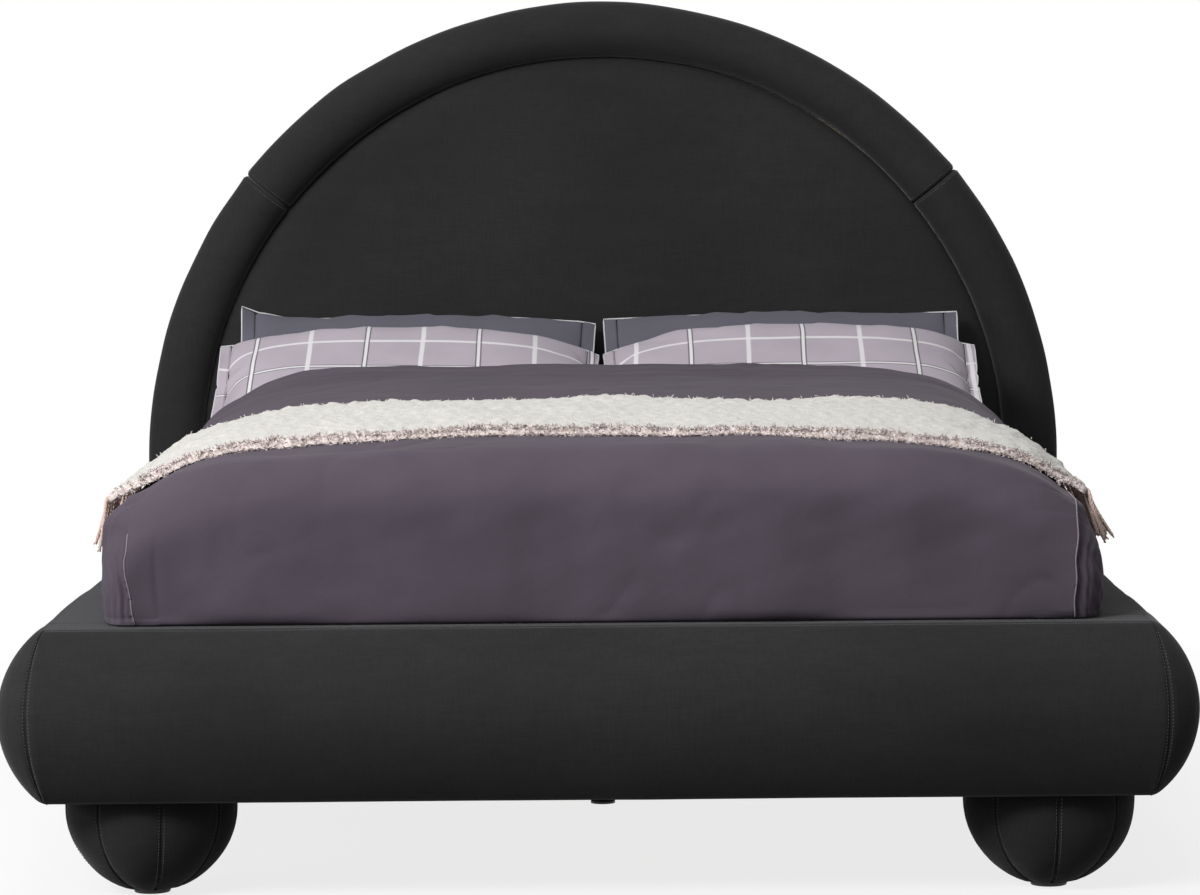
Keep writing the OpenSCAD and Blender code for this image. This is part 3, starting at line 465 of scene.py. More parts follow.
PROFILE = rail_profile()
FLAT_N = 5
SWEPT = PROFILE[FLAT_N:-FLAT_N]
TURNED = math.pi / 2 * CORNER_R
SEAM_S = TURN_X + math.radians(17.6) * CORNER_R
END_S = TURN_X + TURNED + TURN_U


def footboard_point(s, u, z):
    """A point of the footboard's skin: s runs along its front from the middle, u is out from the inner face."""
    side, s = (-1 if s < 0 else 1), abs(s)
    if s <= TURN_X:
        x, y = s, FOOT - u
    elif s <= TURN_X + TURNED:
        a = (s - TURN_X) / CORNER_R
        x, y = TURN_X + (u - TURN_U) * math.sin(a), TIP + CORNER_R - (u - TURN_U) * math.cos(a)
    else:
        x, y = TURN_X + u - TURN_U, TIP + CORNER_R + s - TURN_X - TURNED
    return side * x, y, RAIL_Z + z


# the lattice's places along the footboard and down its section
half = near(steps([0, TURN_X, TURN_X + TURNED, END_S - 0.004, END_S], 0.0095), [SEAM_S])
half = np.array(sorted(set(np.round(list(half) + [TURN_X], 6))))
line_s = np.r_[-half[:0:-1], half]
prof_s = way_along(SWEPT)
SEAM_P = prof_s[3]
fine = near(steps([0, prof_s[-1]], 0.0078), [SEAM_P], (-0.006, -0.004, -0.002, 0, 0.002, 0.004, 0.0065, 0.010))
fine_u, fine_z = np.interp(fine, prof_s, SWEPT[:, 0]), np.interp(fine, prof_s, SWEPT[:, 1])


def seam_distance(s, p):
    """Signed way from the footboard's panel seam, which is rounded at its corners: positive inside the panel."""
    r = 0.016
    a, b = SEAM_S - abs(s), p - SEAM_P
    inside = np.minimum(a, b)
    rounded = r - np.hypot(np.maximum(r - a, 0), np.maximum(r - b, 0))
    return np.where((a < r) & (b < r), rounded, inside)


def groove(d, deep=0.0032, wide=0.0028, puff=0.0012):
    """A sewn seam: a narrow groove between two soft shoulders."""
    return -deep * bell(d, wide) + puff * bell(np.abs(d) - 0.010, 0.007)


def upholster(name, parts, nodes, subsurf=0):
    """A velvet cover on the bed's frame."""
    build(name, parts, "bed_frame", nodes, "velvet", subsurf, mat=VELVET)


def stitch(name, lines):
    build(name, lines, "bed_frame", slot="velvet", close=False, weld=1e-7, mat=VELVET_THREAD)


def make_footboard():
    pts = np.array([[footboard_point(s, u, z) for u, z in zip(fine_u, fine_z)] for s in line_s])
    S, P = mesh_grid(line_s, fine)
    d = seam_distance(S, P)
    along = np.where(np.abs(S) < SEAM_S - 0.02, S, P)
    q = pts.reshape(-1, 3)
    lift = 0.0011 * waves(q, 0.42, 3) + 0.0006 * waves(q, 0.13, 4)
    lift += groove(d.ravel())
    gather = ripples(along.ravel(), 0.021, 2.2, q, 0.09, 8) * (0.35 + 0.65 * (waves(q, 0.2, 9) > 0))
    lift += 0.00055 * gather * np.exp(-np.abs(d.ravel()) / 0.016)
    n = unit(np.cross(np.gradient(pts, axis=0), np.gradient(pts, axis=1)), 1e-12)
    n *= -np.sign(n[len(line_s) // 2, len(fine) // 2, 1])
    edge = ramp(np.minimum(END_S - np.abs(S), np.minimum(P, fine[-1] - P)) / 0.02)
    lift = np.maximum(lift + 0.0020, -0.0014)
    skin = pts + n * (lift.reshape(S.shape) * edge)[:, :, None]
    parts = [sheet(skin)]
    # the flat top and underside by the inner face, and that face
    inner = line_s[abs(line_s) <= TURN_X + 1e-9]
    back_s = half[half >= TURN_X + TURNED - 1e-9]
    X, Y = mesh_grid(inner, FOOT - TURN_U + (back_s - back_s[0]))
    top_z, low_z = RAIL_Z + fine_z[0], RAIL_Z + fine_z[-1]
    for z, puff in ((top_z, 0.0003), (low_z, -0.0003)):
        cap = lattice(X, Y, z)
        cap[:, 1:-1, 2] += puff
        parts.append(sheet(cap))
    zs = np.r_[low_z, low_z + 0.004, np.linspace(low_z + 0.02, top_z - 0.02, 12), top_z - 0.004, top_z]
    X, Z = mesh_grid(inner, zs)
    parts.append(sheet(lattice(X, FOOT, Z)))
    upholster("footboard_upholstery", parts, ["footboard_cover"], 1)
    # stitches along the seam's top, on the panel's side, and on both sides of its ends
    i_top = np.argmin(abs(fine - SEAM_P - 0.004))
    row, cols = abs(line_s) < SEAM_S - 0.018, fine > SEAM_P + 0.018
    lines = [threads(skin[row, i_top], n[row, i_top])]
    for s0 in (-(SEAM_S - 0.004), SEAM_S - 0.004, -(SEAM_S + 0.004), SEAM_S + 0.004):
        k = np.argmin(abs(line_s - s0))
        lines.append(threads(skin[k, cols], n[k, cols]))
    stitch("footboard_stitching", lines)


def make_side_rail(side):
    """A rail's upholstery from the footboard to the headboard, with soft swells and a closed inner face."""
    prof = np.vstack([PROFILE, [(0.0, z) for z in np.linspace(0.004, RAIL_H - 0.004, 9)]])
    ys = np.r_[FOOT - 0.007, FOOT - 0.002, FOOT + 0.003, steps([FOOT + 0.008, HEAD - 0.008], 0.009), HEAD - 0.003,
               HEAD - 0.0003]
    Y, K = mesh_grid(ys, np.arange(len(prof)))
    outer = ramp((prof[K, 0] - 0.05) / 0.06).ravel()
    q = lattice(side * (IN_X + prof[K, 0]), Y, RAIL_Z + prof[K, 1]).reshape(-1, 3)
    ends = np.minimum(Y - FOOT, ys[-1] - Y).clip(0).ravel()
    lift = (0.0012 * waves(q, 0.5, 21 + side) + 0.0006 * waves(q, 0.15, 23 + side)) * outer * ramp(ends / 0.03)
    lift -= 0.0012 * bell(ends, 0.003) * outer
    lift = np.maximum(lift + 0.0020 * outer * ramp(ends / 0.02), -0.0014)
    lift = np.where(Y.ravel() < FOOT, -0.0010, lift)
    away = unit(lattice(side, 0.0, (q[:, 2] - RAIL_Z - RAIL_H / 2) / 0.14))
    q = (q + away * lift[:, None]).reshape(*Y.shape, 3)
    name = "right" if side > 0 else "left"
    upholster(f"side_rail_upholstery_{name}", [sheet(q, wrap_cols=True)], [f"side_cover_{name}"])


make_footboard()
make_side_rail(-1)
make_side_rail(1)


# Headboard

def arch_path(low, pitch, marks=()):
    """Places up the left leg, over the arch and down the right leg, as (way, centre z, out x, out z)."""
    leg = ARCH_Z - low
    over = leg + math.pi * SEAM_R
    w = steps([0, leg, over, over + leg], pitch)
    out = []
    for v in near(w, marks) if marks else w:
        if v <= leg:
            out.append((v, low + v, -1, 0))
        elif v < over:
            a = math.pi - (v - leg) / SEAM_R
            out.append((v, ARCH_Z, math.cos(a), math.sin(a)))
        else:
            out.append((v, ARCH_Z - (v - over), 1, 0))
    return np.array(out)


def from_centre(path, rho, radius):
    """Rows of points from the arch's middle out to a radius, as shares, ways and flat positions."""
    R, K = mesh_grid(rho, np.arange(len(path)))
    way, mid_z, out_x, out_z = path[K].transpose(2, 0, 1)
    return R, way.ravel(), out_x * R * radius, mid_z + out_z * R * radius


def closed(face, x, rear_y, z):
    """A cover's outer face with a plain face behind it."""
    return sheet(np.vstack([face, lattice(x[::-1], rear_y, z[::-1])]))


def make_panel():
    """The centre's padded face, which rolls back at its edge into the seam by the border."""
    rho = np.r_[0, np.linspace(0.04, 0.88, 26), 0.895, 0.91, 0.922, 0.933, 0.943, 0.952, 0.960, 0.967, 0.974, 0.980,
                0.985, 0.990, 0.994, 0.997, 0.999, 1.0]
    R, way, x, z = from_centre(arch_path(0.330, 0.008), rho, SEAM_R)
    t = ramp((R * SEAM_R - (SEAM_R - 0.062)) / 0.062)
    q = lattice(x, 0.0, z).reshape(-1, 3)
    inset = 0.019 * (1 - np.sqrt(ramp(1 - t ** 2.2))).ravel()
    soft = 0.0016 * waves(q, 0.55, 41) + 0.0006 * waves(q, 0.17, 42)
    d = ((1 - R) * SEAM_R).ravel()
    gather = 0.0006 * ripples(way, 0.026, 2.5, q, 0.12, 43) * np.exp(-d / 0.022) * ramp(d / 0.004)
    y = HEAD + 0.0012 + inset - (soft - 0.0016) * ramp(d / 0.1) - gather
    upholster("headboard_panel_upholstery", [closed(lattice(x, y.reshape(x.shape), z), x, BACK - PAD_Y, z)],
              ["headboard_panel"])


def border_section(flat):
    """The border's closed section as (radius, depth from the back), a roll or a flat-fronted band."""
    back_r, half, power, deep = 0.0083, 0.055, *((2 / 9, 0.015) if flat else (1, 0.05))
    pts = [(SEAM_R, PAD_Y), (CORE_R, PAD_Y), (CORE_R, 0.0)]
    pts += [(HEAD_R - back_r + back_r * math.cos(a), back_r + back_r * math.sin(a))
            for a in np.linspace(-math.pi / 2, 0, 6)]
    pts += [(HEAD_R, v) for v in np.linspace(0.02, 0.085, 6)]
    a = np.linspace(0, math.pi, 40)
    pts += [(HEAD_R - half + half * np.sign(c) * abs(c) ** power, 0.1 + deep * abs(s) ** power)
            for c, s in zip(np.cos(a), np.sin(a))]
    return np.array(pts + [(SEAM_R, 0.09)])


def make_border():
    """The border's three lengths, flat between the rails' ends and a roll above them, with their sewn ends."""
    leg, cut = ARCH_Z - RAIL_Z, SEAM_R * math.radians(39)
    cuts = [leg + cut, leg + math.pi * SEAM_R - cut]
    path = arch_path(RAIL_Z, 0.014, cuts)
    total = path[-1, 0]
    roll, flat = border_section(False), border_section(True)
    lines = []
    for name, a, b in (("left", 0, cuts[0]), ("top", *cuts), ("right", cuts[1], total)):
        rows = path[(path[:, 0] >= a - 1e-9) & (path[:, 0] <= b + 1e-9)]
        at, mid_z, out_x, out_z = rows.T[:, :, None]
        on_leg = (at < leg) | (at > total - leg)
        m = np.where(on_leg, ramp((mid_z - RAIL_TOP + 0.002) / 0.012), 1)[:, :, None]
        rad, deep = (flat[None] * (1 - m) + roll[None] * m).transpose(2, 0, 1)
        pts = lattice(out_x * rad, BACK - deep, mid_z + out_z * rad)
        away = unit(lattice(out_x * (rad - 0.873), -(deep - 0.07), out_z * (rad - 0.873)), 1e-9)
        q, n_sec = pts.reshape(-1, 3), len(roll)
        way = np.repeat(rows[:, 0], n_sec)
        shown = np.tile(np.arange(n_sec) > 3, len(rows))
        d = np.min([np.abs(way - c) for c in cuts], axis=0)
        lift = 0.0012 * waves(q, 0.4, 61) + 0.0006 * waves(q, 0.12, 62)
        lift += -0.0036 * bell(d, 0.0035) + 0.0010 * bell(d - 0.012, 0.008)
        rim = np.exp(-np.abs(np.hypot(q[:, 0], np.maximum(q[:, 2] - ARCH_Z, 0)) - SEAM_R) / 0.012)
        lift += 0.0005 * ripples(way, 0.024, 2.4, q, 0.1, 63) * rim
        lift += 0.0004 * ripples(q[:, 1], 0.017, 3, q, 0.07, 64) * np.exp(-d / 0.014)
        lift *= shown * ramp((q[:, 2] - RAIL_Z) / 0.02)
        grown = pts + away * lift.reshape(rad.shape)[:, :, None]
        node = f"headboard_border_{name}"
        upholster(node + "_upholstery", [sheet(grown, wrap_cols=True)], [node], 1)
        for c, beside in ((a, 0.007), (b, -0.007)):
            if c in cuts:
                k, cols = np.argmin(abs(rows[:, 0] - (c + beside))), slice(10, -3)
                lines.append(threads(grown[k, cols] + away[k, cols] * 0.0002, away[k, cols]))
    stitch("headboard_stitching", lines)


def make_back():
    """The cloth over the headboard's back, with a sewn rim, and the strips under the headboard."""
    rho = np.r_[0, 0.3, 0.5, 0.7, 0.85, 0.93, 0.96, 0.975, 0.985, 0.992, 1.0, 1.006]
    R, way, x, z = from_centre(arch_path(RAIL_Z, 0.03), rho, CORE_R - 0.0002)
    d = ((1 - R) * CORE_R).ravel()
    pull = 0.0006 * np.sin(way * TAU / 0.11) * np.exp(-d / 0.09)
    soft = 0.0005 * waves(lattice(x, 0.0, z).reshape(-1, 3), 0.6, 71)
    y = BACK - 0.0006 + soft - 0.0012 * bell(d - 0.012, 0.004) + pull
    y = np.where(d < -1e-6, BACK - 0.0013, np.clip(y, BACK - 0.0016, BACK + 0.002)).reshape(x.shape)
    parts = [closed(lattice(x, y, z), x, BACK - 0.002, z)]
    for half_x, y0, y1 in ((CORE_R - 0.001, BACK - 0.0728, BACK - 0.0024),
                           (SEAM_R - 0.0005, HEAD + 0.0003, BACK - 0.0732)):
        X, Y = mesh_grid(steps([-half_x, half_x], 0.05), np.linspace(y0, y1, 5))
        Z = RAIL_Z + 0.0004 * waves(lattice(X, Y, X).reshape(-1, 3), 0.2, 73).reshape(X.shape)
        parts += [sheet(lattice(X, Y, Z)), sheet(lattice(X, Y, RAIL_Z + 0.002))]
    upholster("headboard_back_upholstery", parts, ["headboard_back_cover"])


make_panel()
make_border()
make_back()


# Ball feet

def make_foot(x, y, turn, name):
    """A padded ball in eight sewn gores, flat below for its glide and cut off by the frame above."""
    low = math.acos(-(BALL_Z - 0.006) / BALL_R)
    high = math.acos((RAIL_Z - 0.0004 - BALL_Z) / BALL_R)
    pol = np.linspace(low, high, 70)
    seams = [turn + k * math.pi / 4 for k in range(8)]
    offs = np.array([-0.09, -0.06, -0.042, -0.028, -0.018, -0.009, 0, 0.009, 0.018, 0.028, 0.042, 0.06, 0.09, 0.12,
                     0.16, 0.20, 0.24, 0.28, 0.32, 0.36, 0.40, 0.44, 0.48, 0.52, 0.56, 0.60, 0.64])
    az = np.array([s + o for s in seams for o in offs])
    A, P = mesh_grid(az, pol)
    to_seam = (A - turn + math.pi / 8) % (math.pi / 4) - math.pi / 8
    d = np.abs(to_seam) * BALL_R * np.sin(P)
    out_at = lambda a, p: lattice(np.sin(a) * np.sin(p), -np.cos(a) * np.sin(p), np.cos(p))
    mid, out = np.array([x, y, BALL_Z]), out_at(A, P)
    f = (mid + out * BALL_R).reshape(-1, 3)
    puff = -0.0022 + 0.0030 * (1 - (np.abs(to_seam) / (math.pi / 8) - 1) ** 2)
    rad = groove(d, 0.0026, 0.0026, 0.0) + puff
    rad += 0.0004 * ripples((P * BALL_R).ravel(), 0.019, 2.5, f, 0.07, 90).reshape(A.shape) * np.exp(-d / 0.012)
    rad += 0.0007 * waves(f, 0.11, 91).reshape(A.shape)
    rad = np.minimum(rad, 0.0012) * ramp((P - pol[-1]) / 0.05) * ramp((pol[0] - P) / 0.05)
    pts = mid + out * (BALL_R + rad)[:, :, None]
    upholster(f"foot_{name}_upholstery", [sheet(pts, wrap_rows=True)], [f"foot_cover_{name}"])
    down = np.linspace(low - 0.05, high + 0.03, 40)
    sides = [out_at(s + o / (BALL_R * np.sin(down)), down) for s in seams for o in (-0.0042, 0.0042)]
    return [threads(mid + u * (BALL_R - 0.0014), u, phase=0.1 * i) for i, u in enumerate(sides)]


FEET = ((-BALL_X, BALL_Y[0], 0.226, "front_left"), (BALL_X, BALL_Y[0], 0.03, "front_right"),
        (-BALL_X, BALL_Y[1], 0.35, "rear_left"), (BALL_X, BALL_Y[1], 0.11, "rear_right"))
stitch("foot_stitching", [line for foot in FEET for line in make_foot(*foot)])


# Soft goods

FOOT_Y, END_Y, HEM, SHOULDER, HALF = -1.0675, 0.4395, 0.4385, 0.4885, 0.800
WALL_Y = -0.9960    # the duvet is solid in front of this and lies over the mattress behind it
CROWN, SAG = 0.93, 0.011    # the share of the width where the shoulder meets the top, and the top's fall to there
ARC_X, ARC_Z, ARC_R = 0.731, 0.5855, 0.048    # the rounded edge that carries the shoulder, clear of the mattress
LEFT_TOP = 0.6355    # the top's lowest level on its left


def duvet_rise(y):
    share = np.minimum(0.6 + 0.4 * rounding((y - FOOT_Y) / 0.095), 0.72 + 0.28 * rounding((END_Y - y) / 0.070))
    return (0.219 + 0.077 * (y - FOOT_Y) / (END_Y - FOOT_Y)) * share


def duvet_width(y, side):
    """Half the duvet's width: it rounds in at the foot end, and lies a little further in on its left there."""
    front = 1 - rounding((y - FOOT_Y) / 0.088)
    if side > 0:
        return HALF + 0.002 - 0.044 * front
    k = ramp((-0.52 - y) / 0.30)
    return HALF - 0.014 * k * k * (3 - 2 * k) - 0.041 * front


def upper(a, b, blend):
    """The greater of two values, with a soft change from one to the other."""
    return 0.5 * (a + b + np.sqrt((a - b) ** 2 + blend ** 2))


def duvet_half(y, side, n_side, n_top):
    """Half of a section, from the hem up the steep side and over the shoulder to the middle, as [x, z]."""
    w, rise = duvet_width(y, side), duvet_rise(y)
    over = (1 - CROWN ** 7) ** (1 / 2.2)
    f = np.linspace(0, over, n_side, endpoint=False)
    g = np.linspace(CROWN, 0, n_top)
    x = np.r_[w, w * (1 - f ** 2.2) ** (1 / 7), w * g]
    z = np.r_[HEM, SHOULDER + rise * f - SAG * (CROWN * f / over) ** 2,
              SHOULDER + rise * (1 - g ** 7) ** (1 / 2.2) - SAG * g * g]
    # the mattress's edge carries the shoulder as far as the mattress reaches
    past = ramp((-0.995 - y) / 0.060)
    edge = ARC_X + np.sqrt((ARC_R ** 2 - (z - ARC_Z).clip(0) ** 2).clip(0)) - 0.06 * past
    edge = np.where((z > 0.50) & (x > 0.931 * w) & (z < ARC_Z + ARC_R), edge, 0)
    x = upper(x, edge, 0.003 * (edge > 0))
    if side < 0:
        z[n_side + 1:] = upper(z[n_side + 1:], LEFT_TOP - 0.1 * past, 0.003)
    return lattice(x, z)


def joined(right, left):
    """Two halves of a section as one line, from the right hem over the top to the left hem."""
    return np.vstack([right, (left * [-1, 1])[-2::-1]])


def duvet_section(y, n_side, n_top):
    return joined(duvet_half(y, 1, n_side, n_top), duvet_half(y, -1, n_side, n_top))


def remeshed(name, parts, voxel):
    """The closed surface of some parts as an even mesh."""
    ob = build(name, parts, "bed_frame")
    even, soft = ob.modifiers.new("even", "REMESH"), ob.modifiers.new("soft", "SMOOTH")
    even.mode, even.voxel_size, even.use_smooth_shade = "VOXEL", voxel, True
    soft.factor, soft.iterations = 0.5, 4
    deps = bpy.context.evaluated_depsgraph_get()
    mesh = bpy.data.meshes.new_from_object(ob.evaluated_get(deps))
    old = ob.data
    bpy.data.objects.remove(ob)
    bpy.data.meshes.remove(old)
    mesh.name = name
    return mesh


def refine(mesh, chosen, cuts):
    """Cuts up the faces whose middles are chosen, where a shape needs finer points."""
    bm = bmesh.new()
    bm.from_mesh(mesh)
    edges = {e for f in bm.faces if chosen(f.calc_center_median()) for e in f.edges}
    bmesh.ops.subdivide_edges(bm, edges=list(edges), cuts=cuts, use_grid_fill=True)
    bm.to_mesh(mesh)
    bm.free()


FOLDS = {1: ((0.437, 0.530, 0.628, 0.70), (0.749, 0.752, 0.760, 0.766), 0.630),
         -1: ((0.438, 0.496, 0.543, 0.585, 0.66), (0.726, 0.737, 0.743, 0.737, 0.725), 0.588)}


def crease(p, length, seed):
    """Thin wandering lines, where a smooth field passes zero, strong in some places and absent in others."""
    return bell(waves(p, length, seed), 0.16) * ramp(waves(p, length * 2.4, seed + 1) - 0.1)


def duvet_field(p, n):
    """How far the loft's points move out: only where the outside is, not over the mattress or at the hem."""
    x, y, z = p.T
    out = ramp((np.abs(x) - 0.772) / 0.006)
    out = np.maximum(out, ramp((z - 0.6235) / 0.008))
    out = np.maximum(out, ramp((WALL_Y - 0.006 - y) / 0.01)) * ramp((z - HEM - 0.001) / 0.012)
    top, front, side = ramp(n[:, 2]), ramp(-n[:, 1]), np.abs(n[:, 0])
    h = 0.0034 * waves(p, 0.42, 101) + 0.0016 * waves(p, 0.17, 102) + 0.0006 * waves(p, 0.07, 103)
    h -= 0.0022 * crease(p, 0.30, 110) + 0.0016 * crease(p, 0.16, 112)
    # soft folds fall down the sides, and slanting wrinkles run across them
    h += 0.0034 * side * ripples(y, 0.21, 1.3, p, 0.5, 120)
    h += 0.0012 * side * waves(p * [1, 1, 0.45], 0.09, 121)
    h -= 0.0018 * side * bell(np.sin((y + 0.55 * np.sign(x) * z) * TAU / 0.13 + waves(p, 0.3, 122)), 0.3)
    # the foot end's corners are folded in like an envelope, with a few gathers outside the fold
    at_foot = ramp((-0.978 - y) / 0.02)
    for flank, (zs, xs, high) in FOLDS.items():
        d = flank * x - np.interp(z, zs, xs) + 0.0012 * np.sin(z * 95 + flank)
        here = at_foot * (flank * x > 0.6) * ramp((high + 0.008 - z) / 0.016)
        flap = np.where(d < 0, 0.0036 * np.exp(np.minimum(d, 0) / 0.020), -0.0046 * np.exp(-np.maximum(d, 0) / 0.016))
        h += here * flap
        gather = np.sin(d * TAU / 0.0125 + 1.2 * np.sin(z * 40) + 0.8 * waves(p, 0.1, 125))
        h += here * (0.0016 if flank < 0 else 0.0007) * gather * ramp(d / 0.004) * ramp((0.60 - z) / 0.05)
        if flank > 0:
            h += here * 0.0007 * ripples(d + 0.45 * (z - 0.5), 0.016, 1, p, 0.06, 126) * ramp(d / 0.006)
    # the right corner's tip stands out, with a dimple above it, and both corners draw in below
    for tip, high, wide in (([0.757, -1.030, 0.632], 0.0055, 0.016), ([0.735, -1.035, 0.655], -0.0030, 0.022)):
        h += high * bell(np.linalg.norm(p - tip, axis=1), wide)
    h -= 0.0090 * np.exp(-(z - HEM) / 0.022) * at_foot * side
    # the hem draws in a little on the footboard, and the foot's face hangs in shallow swells
    h -= 0.0035 * np.exp(-(z - HEM) / 0.010) * front
    h += front * 0.0020 * waves(p * [1, 1, 0.35], 0.15, 127)
    # the turned-back layers near the head end show as lines across the top
    for y0, deep, seed in ((0.175, 0.0045, 131), (0.245, 0.0035, 132), (0.36, 0.0030, 133)):
        line = y - y0 - 0.012 * waves(p * [1, 0.2, 0.2], 0.5, seed)
        h += top * (-deep * bell(line, 0.006) + 0.6 * deep * bell(line + 0.018, 0.013))
    # no fold goes in as far as the mattress's corded edge
    h = h * out
    q = p + n * h[:, None] - MATTRESS_MID
    over = np.abs(q) - (MATTRESS_HALF - MATTRESS_EDGE)
    clear = np.linalg.norm(over.clip(0), axis=1) + over.max(1).clip(None, 0) - MATTRESS_EDGE
    facing = (np.sign(q) * over.clip(0) * n).sum(1) > 0
    return np.where(facing & (clear > -0.02), h + (0.0095 - clear).clip(0), h)


def make_duvet():
    """A thick shell over the mattress, closed at its foot end, with the folded corners' edges drawn as fine rolls: real
    rolled edges, whose lighter colour is a painted highlight.
    """
    ys = np.r_[FOOT_Y + np.array([0, 0.002, 0.008, 0.018, 0.032, 0.050, 0.072, 0.095]), np.linspace(-0.95, 0.37, 90),
               END_Y - np.array([0.060, 0.045, 0.030, 0.018, 0.009, 0.003, 0])]
    at_y = lambda section, y: lattice(section[:, 0], y, section[:, 1])
    outer = np.array([at_y(duvet_section(y, 14, 60), y) for y in ys])
    m = outer.shape[1]
    turn = np.linspace(0.15, 1.5, 6)
    half = np.vstack([lattice(0.763, np.linspace(HEM, 0.585, 12)),
                      lattice(0.7275 + 0.0355 * np.cos(turn), ARC_Z + 0.0355 * np.sin(turn)),
                      lattice(np.linspace(0.70, 0, 30), 0.621)])
    inner = joined(half, half)
    k = np.linspace(0, len(inner) - 1, m)
    inner = lattice(*(np.interp(k, np.arange(len(inner)), v) for v in inner.T))
    flat = lambda y: lattice(np.linspace(duvet_width(y, 1) - 0.02, 0.02 - duvet_width(y, -1), m), HEM)
    under = np.array([at_y(flat(y) if y < WALL_Y else inner, y) for y in ys])
    t = np.linspace(0, 1, 12)[:, None, None]
    parts = [sheet(np.concatenate([outer, under[:, ::-1]], axis=1), wrap_cols=True)]
    parts += [sheet(outer[i] * (1 - t) + under[i] * t) for i in (0, -1)]
    mesh = remeshed("duvet_loft", parts, 0.0090)
    refine(mesh, lambda c: (c[1] < -0.965) & (abs(c[0]) > 0.69) & (c[2] < 0.68), 2)
    move(mesh, duvet_field)
    ob = place("duvet_quilt", mesh, "duvet", ["duvet"], "duvet_cloth", 1, mat=DUVET)
    tree, parts = surface(ob), []
    for side, (zs, xs, high) in FOLDS.items():
        z = np.linspace(HEM + 0.004, high - 0.004, 60)
        x = side * (np.interp(z, zs, xs) - 0.0022 - 0.0012 * np.sin(z * 95 + side))
        hits = [tree.ray_cast(Vector(p), Vector((0, 1, 0)))[0] for p in lattice(x, -1.3, z)]
        parts.append(tube([hit + Vector((side * 0.0004, -0.0003, 0)) for hit in hits if hit is not None], 0.0011, 6))
    # the rolls' lighter colour is a painted highlight along the real fold edges
    build("duvet_fold_edges", parts, "duvet", slot="duvet_cloth", weld=1e-8, mat=EDGE)
    return ob


def surface(ob):
    mesh = ob.data
    return BVHTree.FromPolygons([v.co.copy() for v in mesh.vertices], [tuple(q.vertices) for q in mesh.polygons])


def drop(tree, p, n, reach=0.06):
    """Points on the surface below p, looked for against the outward direction n."""
    out = np.array(p, float)
    for i, (q, d) in enumerate(zip(p, n)):
        hit = tree.ray_cast(Vector(q + d * reach), Vector(-d), 2 * reach)[0]
        if hit is not None:
            out[i] = hit
    return out


THROW_Y, THROW_HEM = (-0.8555, -0.3855), 0.6170


def tassel(tree, rng, root, y, side):
    """Three twisted strands that hang from an end of the throw down the duvet's side."""
    t = np.linspace(0, 1, 15)
    length = 0.086 + rng.uniform(-0.008, 0.004)
    sway, lean = rng.normal(0, 0.0022), rng.normal(0, 0.006)
    line = lattice(root[0], y + sway * np.sin(t * 4 + rng.uniform(0, 6)) + lean * t, root[2] + 0.006 - t * length)
    flare = (0.044 if side > 0 else 0.030) * rng.uniform(0.4, 1.0)
    away = drop(tree, line, np.tile([side * 1.0, 0, 0], (len(t), 1)))[:, 0] * side + 0.0042
    line[:, 0] = side * np.maximum(away, root[0] * side + 0.009 + flare * t ** 1.3)
    twist, full, spread = 24 * t + rng.uniform(0, 6), ramp(0.45 + 4 * t), ramp(t - 0.86) / 0.14
    for ply in (0, TAU / 3, 2 * TAU / 3):
        strand = line.copy()
        strand[:, 1] += 0.0019 * full * np.cos(twist + ply) + 0.0022 * np.cos(ply) * spread
        strand[:, 0] += side * (0.0017 * full * np.sin(twist + ply) + 0.0016 * np.sin(ply) * spread)
        yield tube(strand, 0.00205 * np.r_[0.6, 0.9, np.ones(10), 0.95, 0.8, 0.5], 6)


def yarn(rng, cloth, row, out_y, size):
    """A short loose end that stands out from a long edge of the throw."""
    col = rng.integers(3, cloth.shape[1] - 3)
    row += rng.integers(0, 3) if out_y < 0 else -rng.integers(0, 2)
    a = cloth[row, col] + rng.normal(0, 0.0015, 3) - [0, 0, 0.001]
    d = unit(np.array([rng.normal(0, 0.55), out_y * rng.uniform(0.5, 1.0), rng.normal(0.05, 0.45)]))
    long = size * rng.uniform(0.6, 1.5) * (1.8 if rng.random() < 0.03 and out_y > 0 else 1)
    b = a + d * long
    c = b + (d * 0.6 + rng.normal(0, 0.5, 3) * [1, 0.4, 1]) * long * 0.5
    return tube([a, (a + b) / 2 + rng.normal(0, 0.0004, 3), b, c], [0.0009, 0.0009, 0.0008, 0.0004], 3)


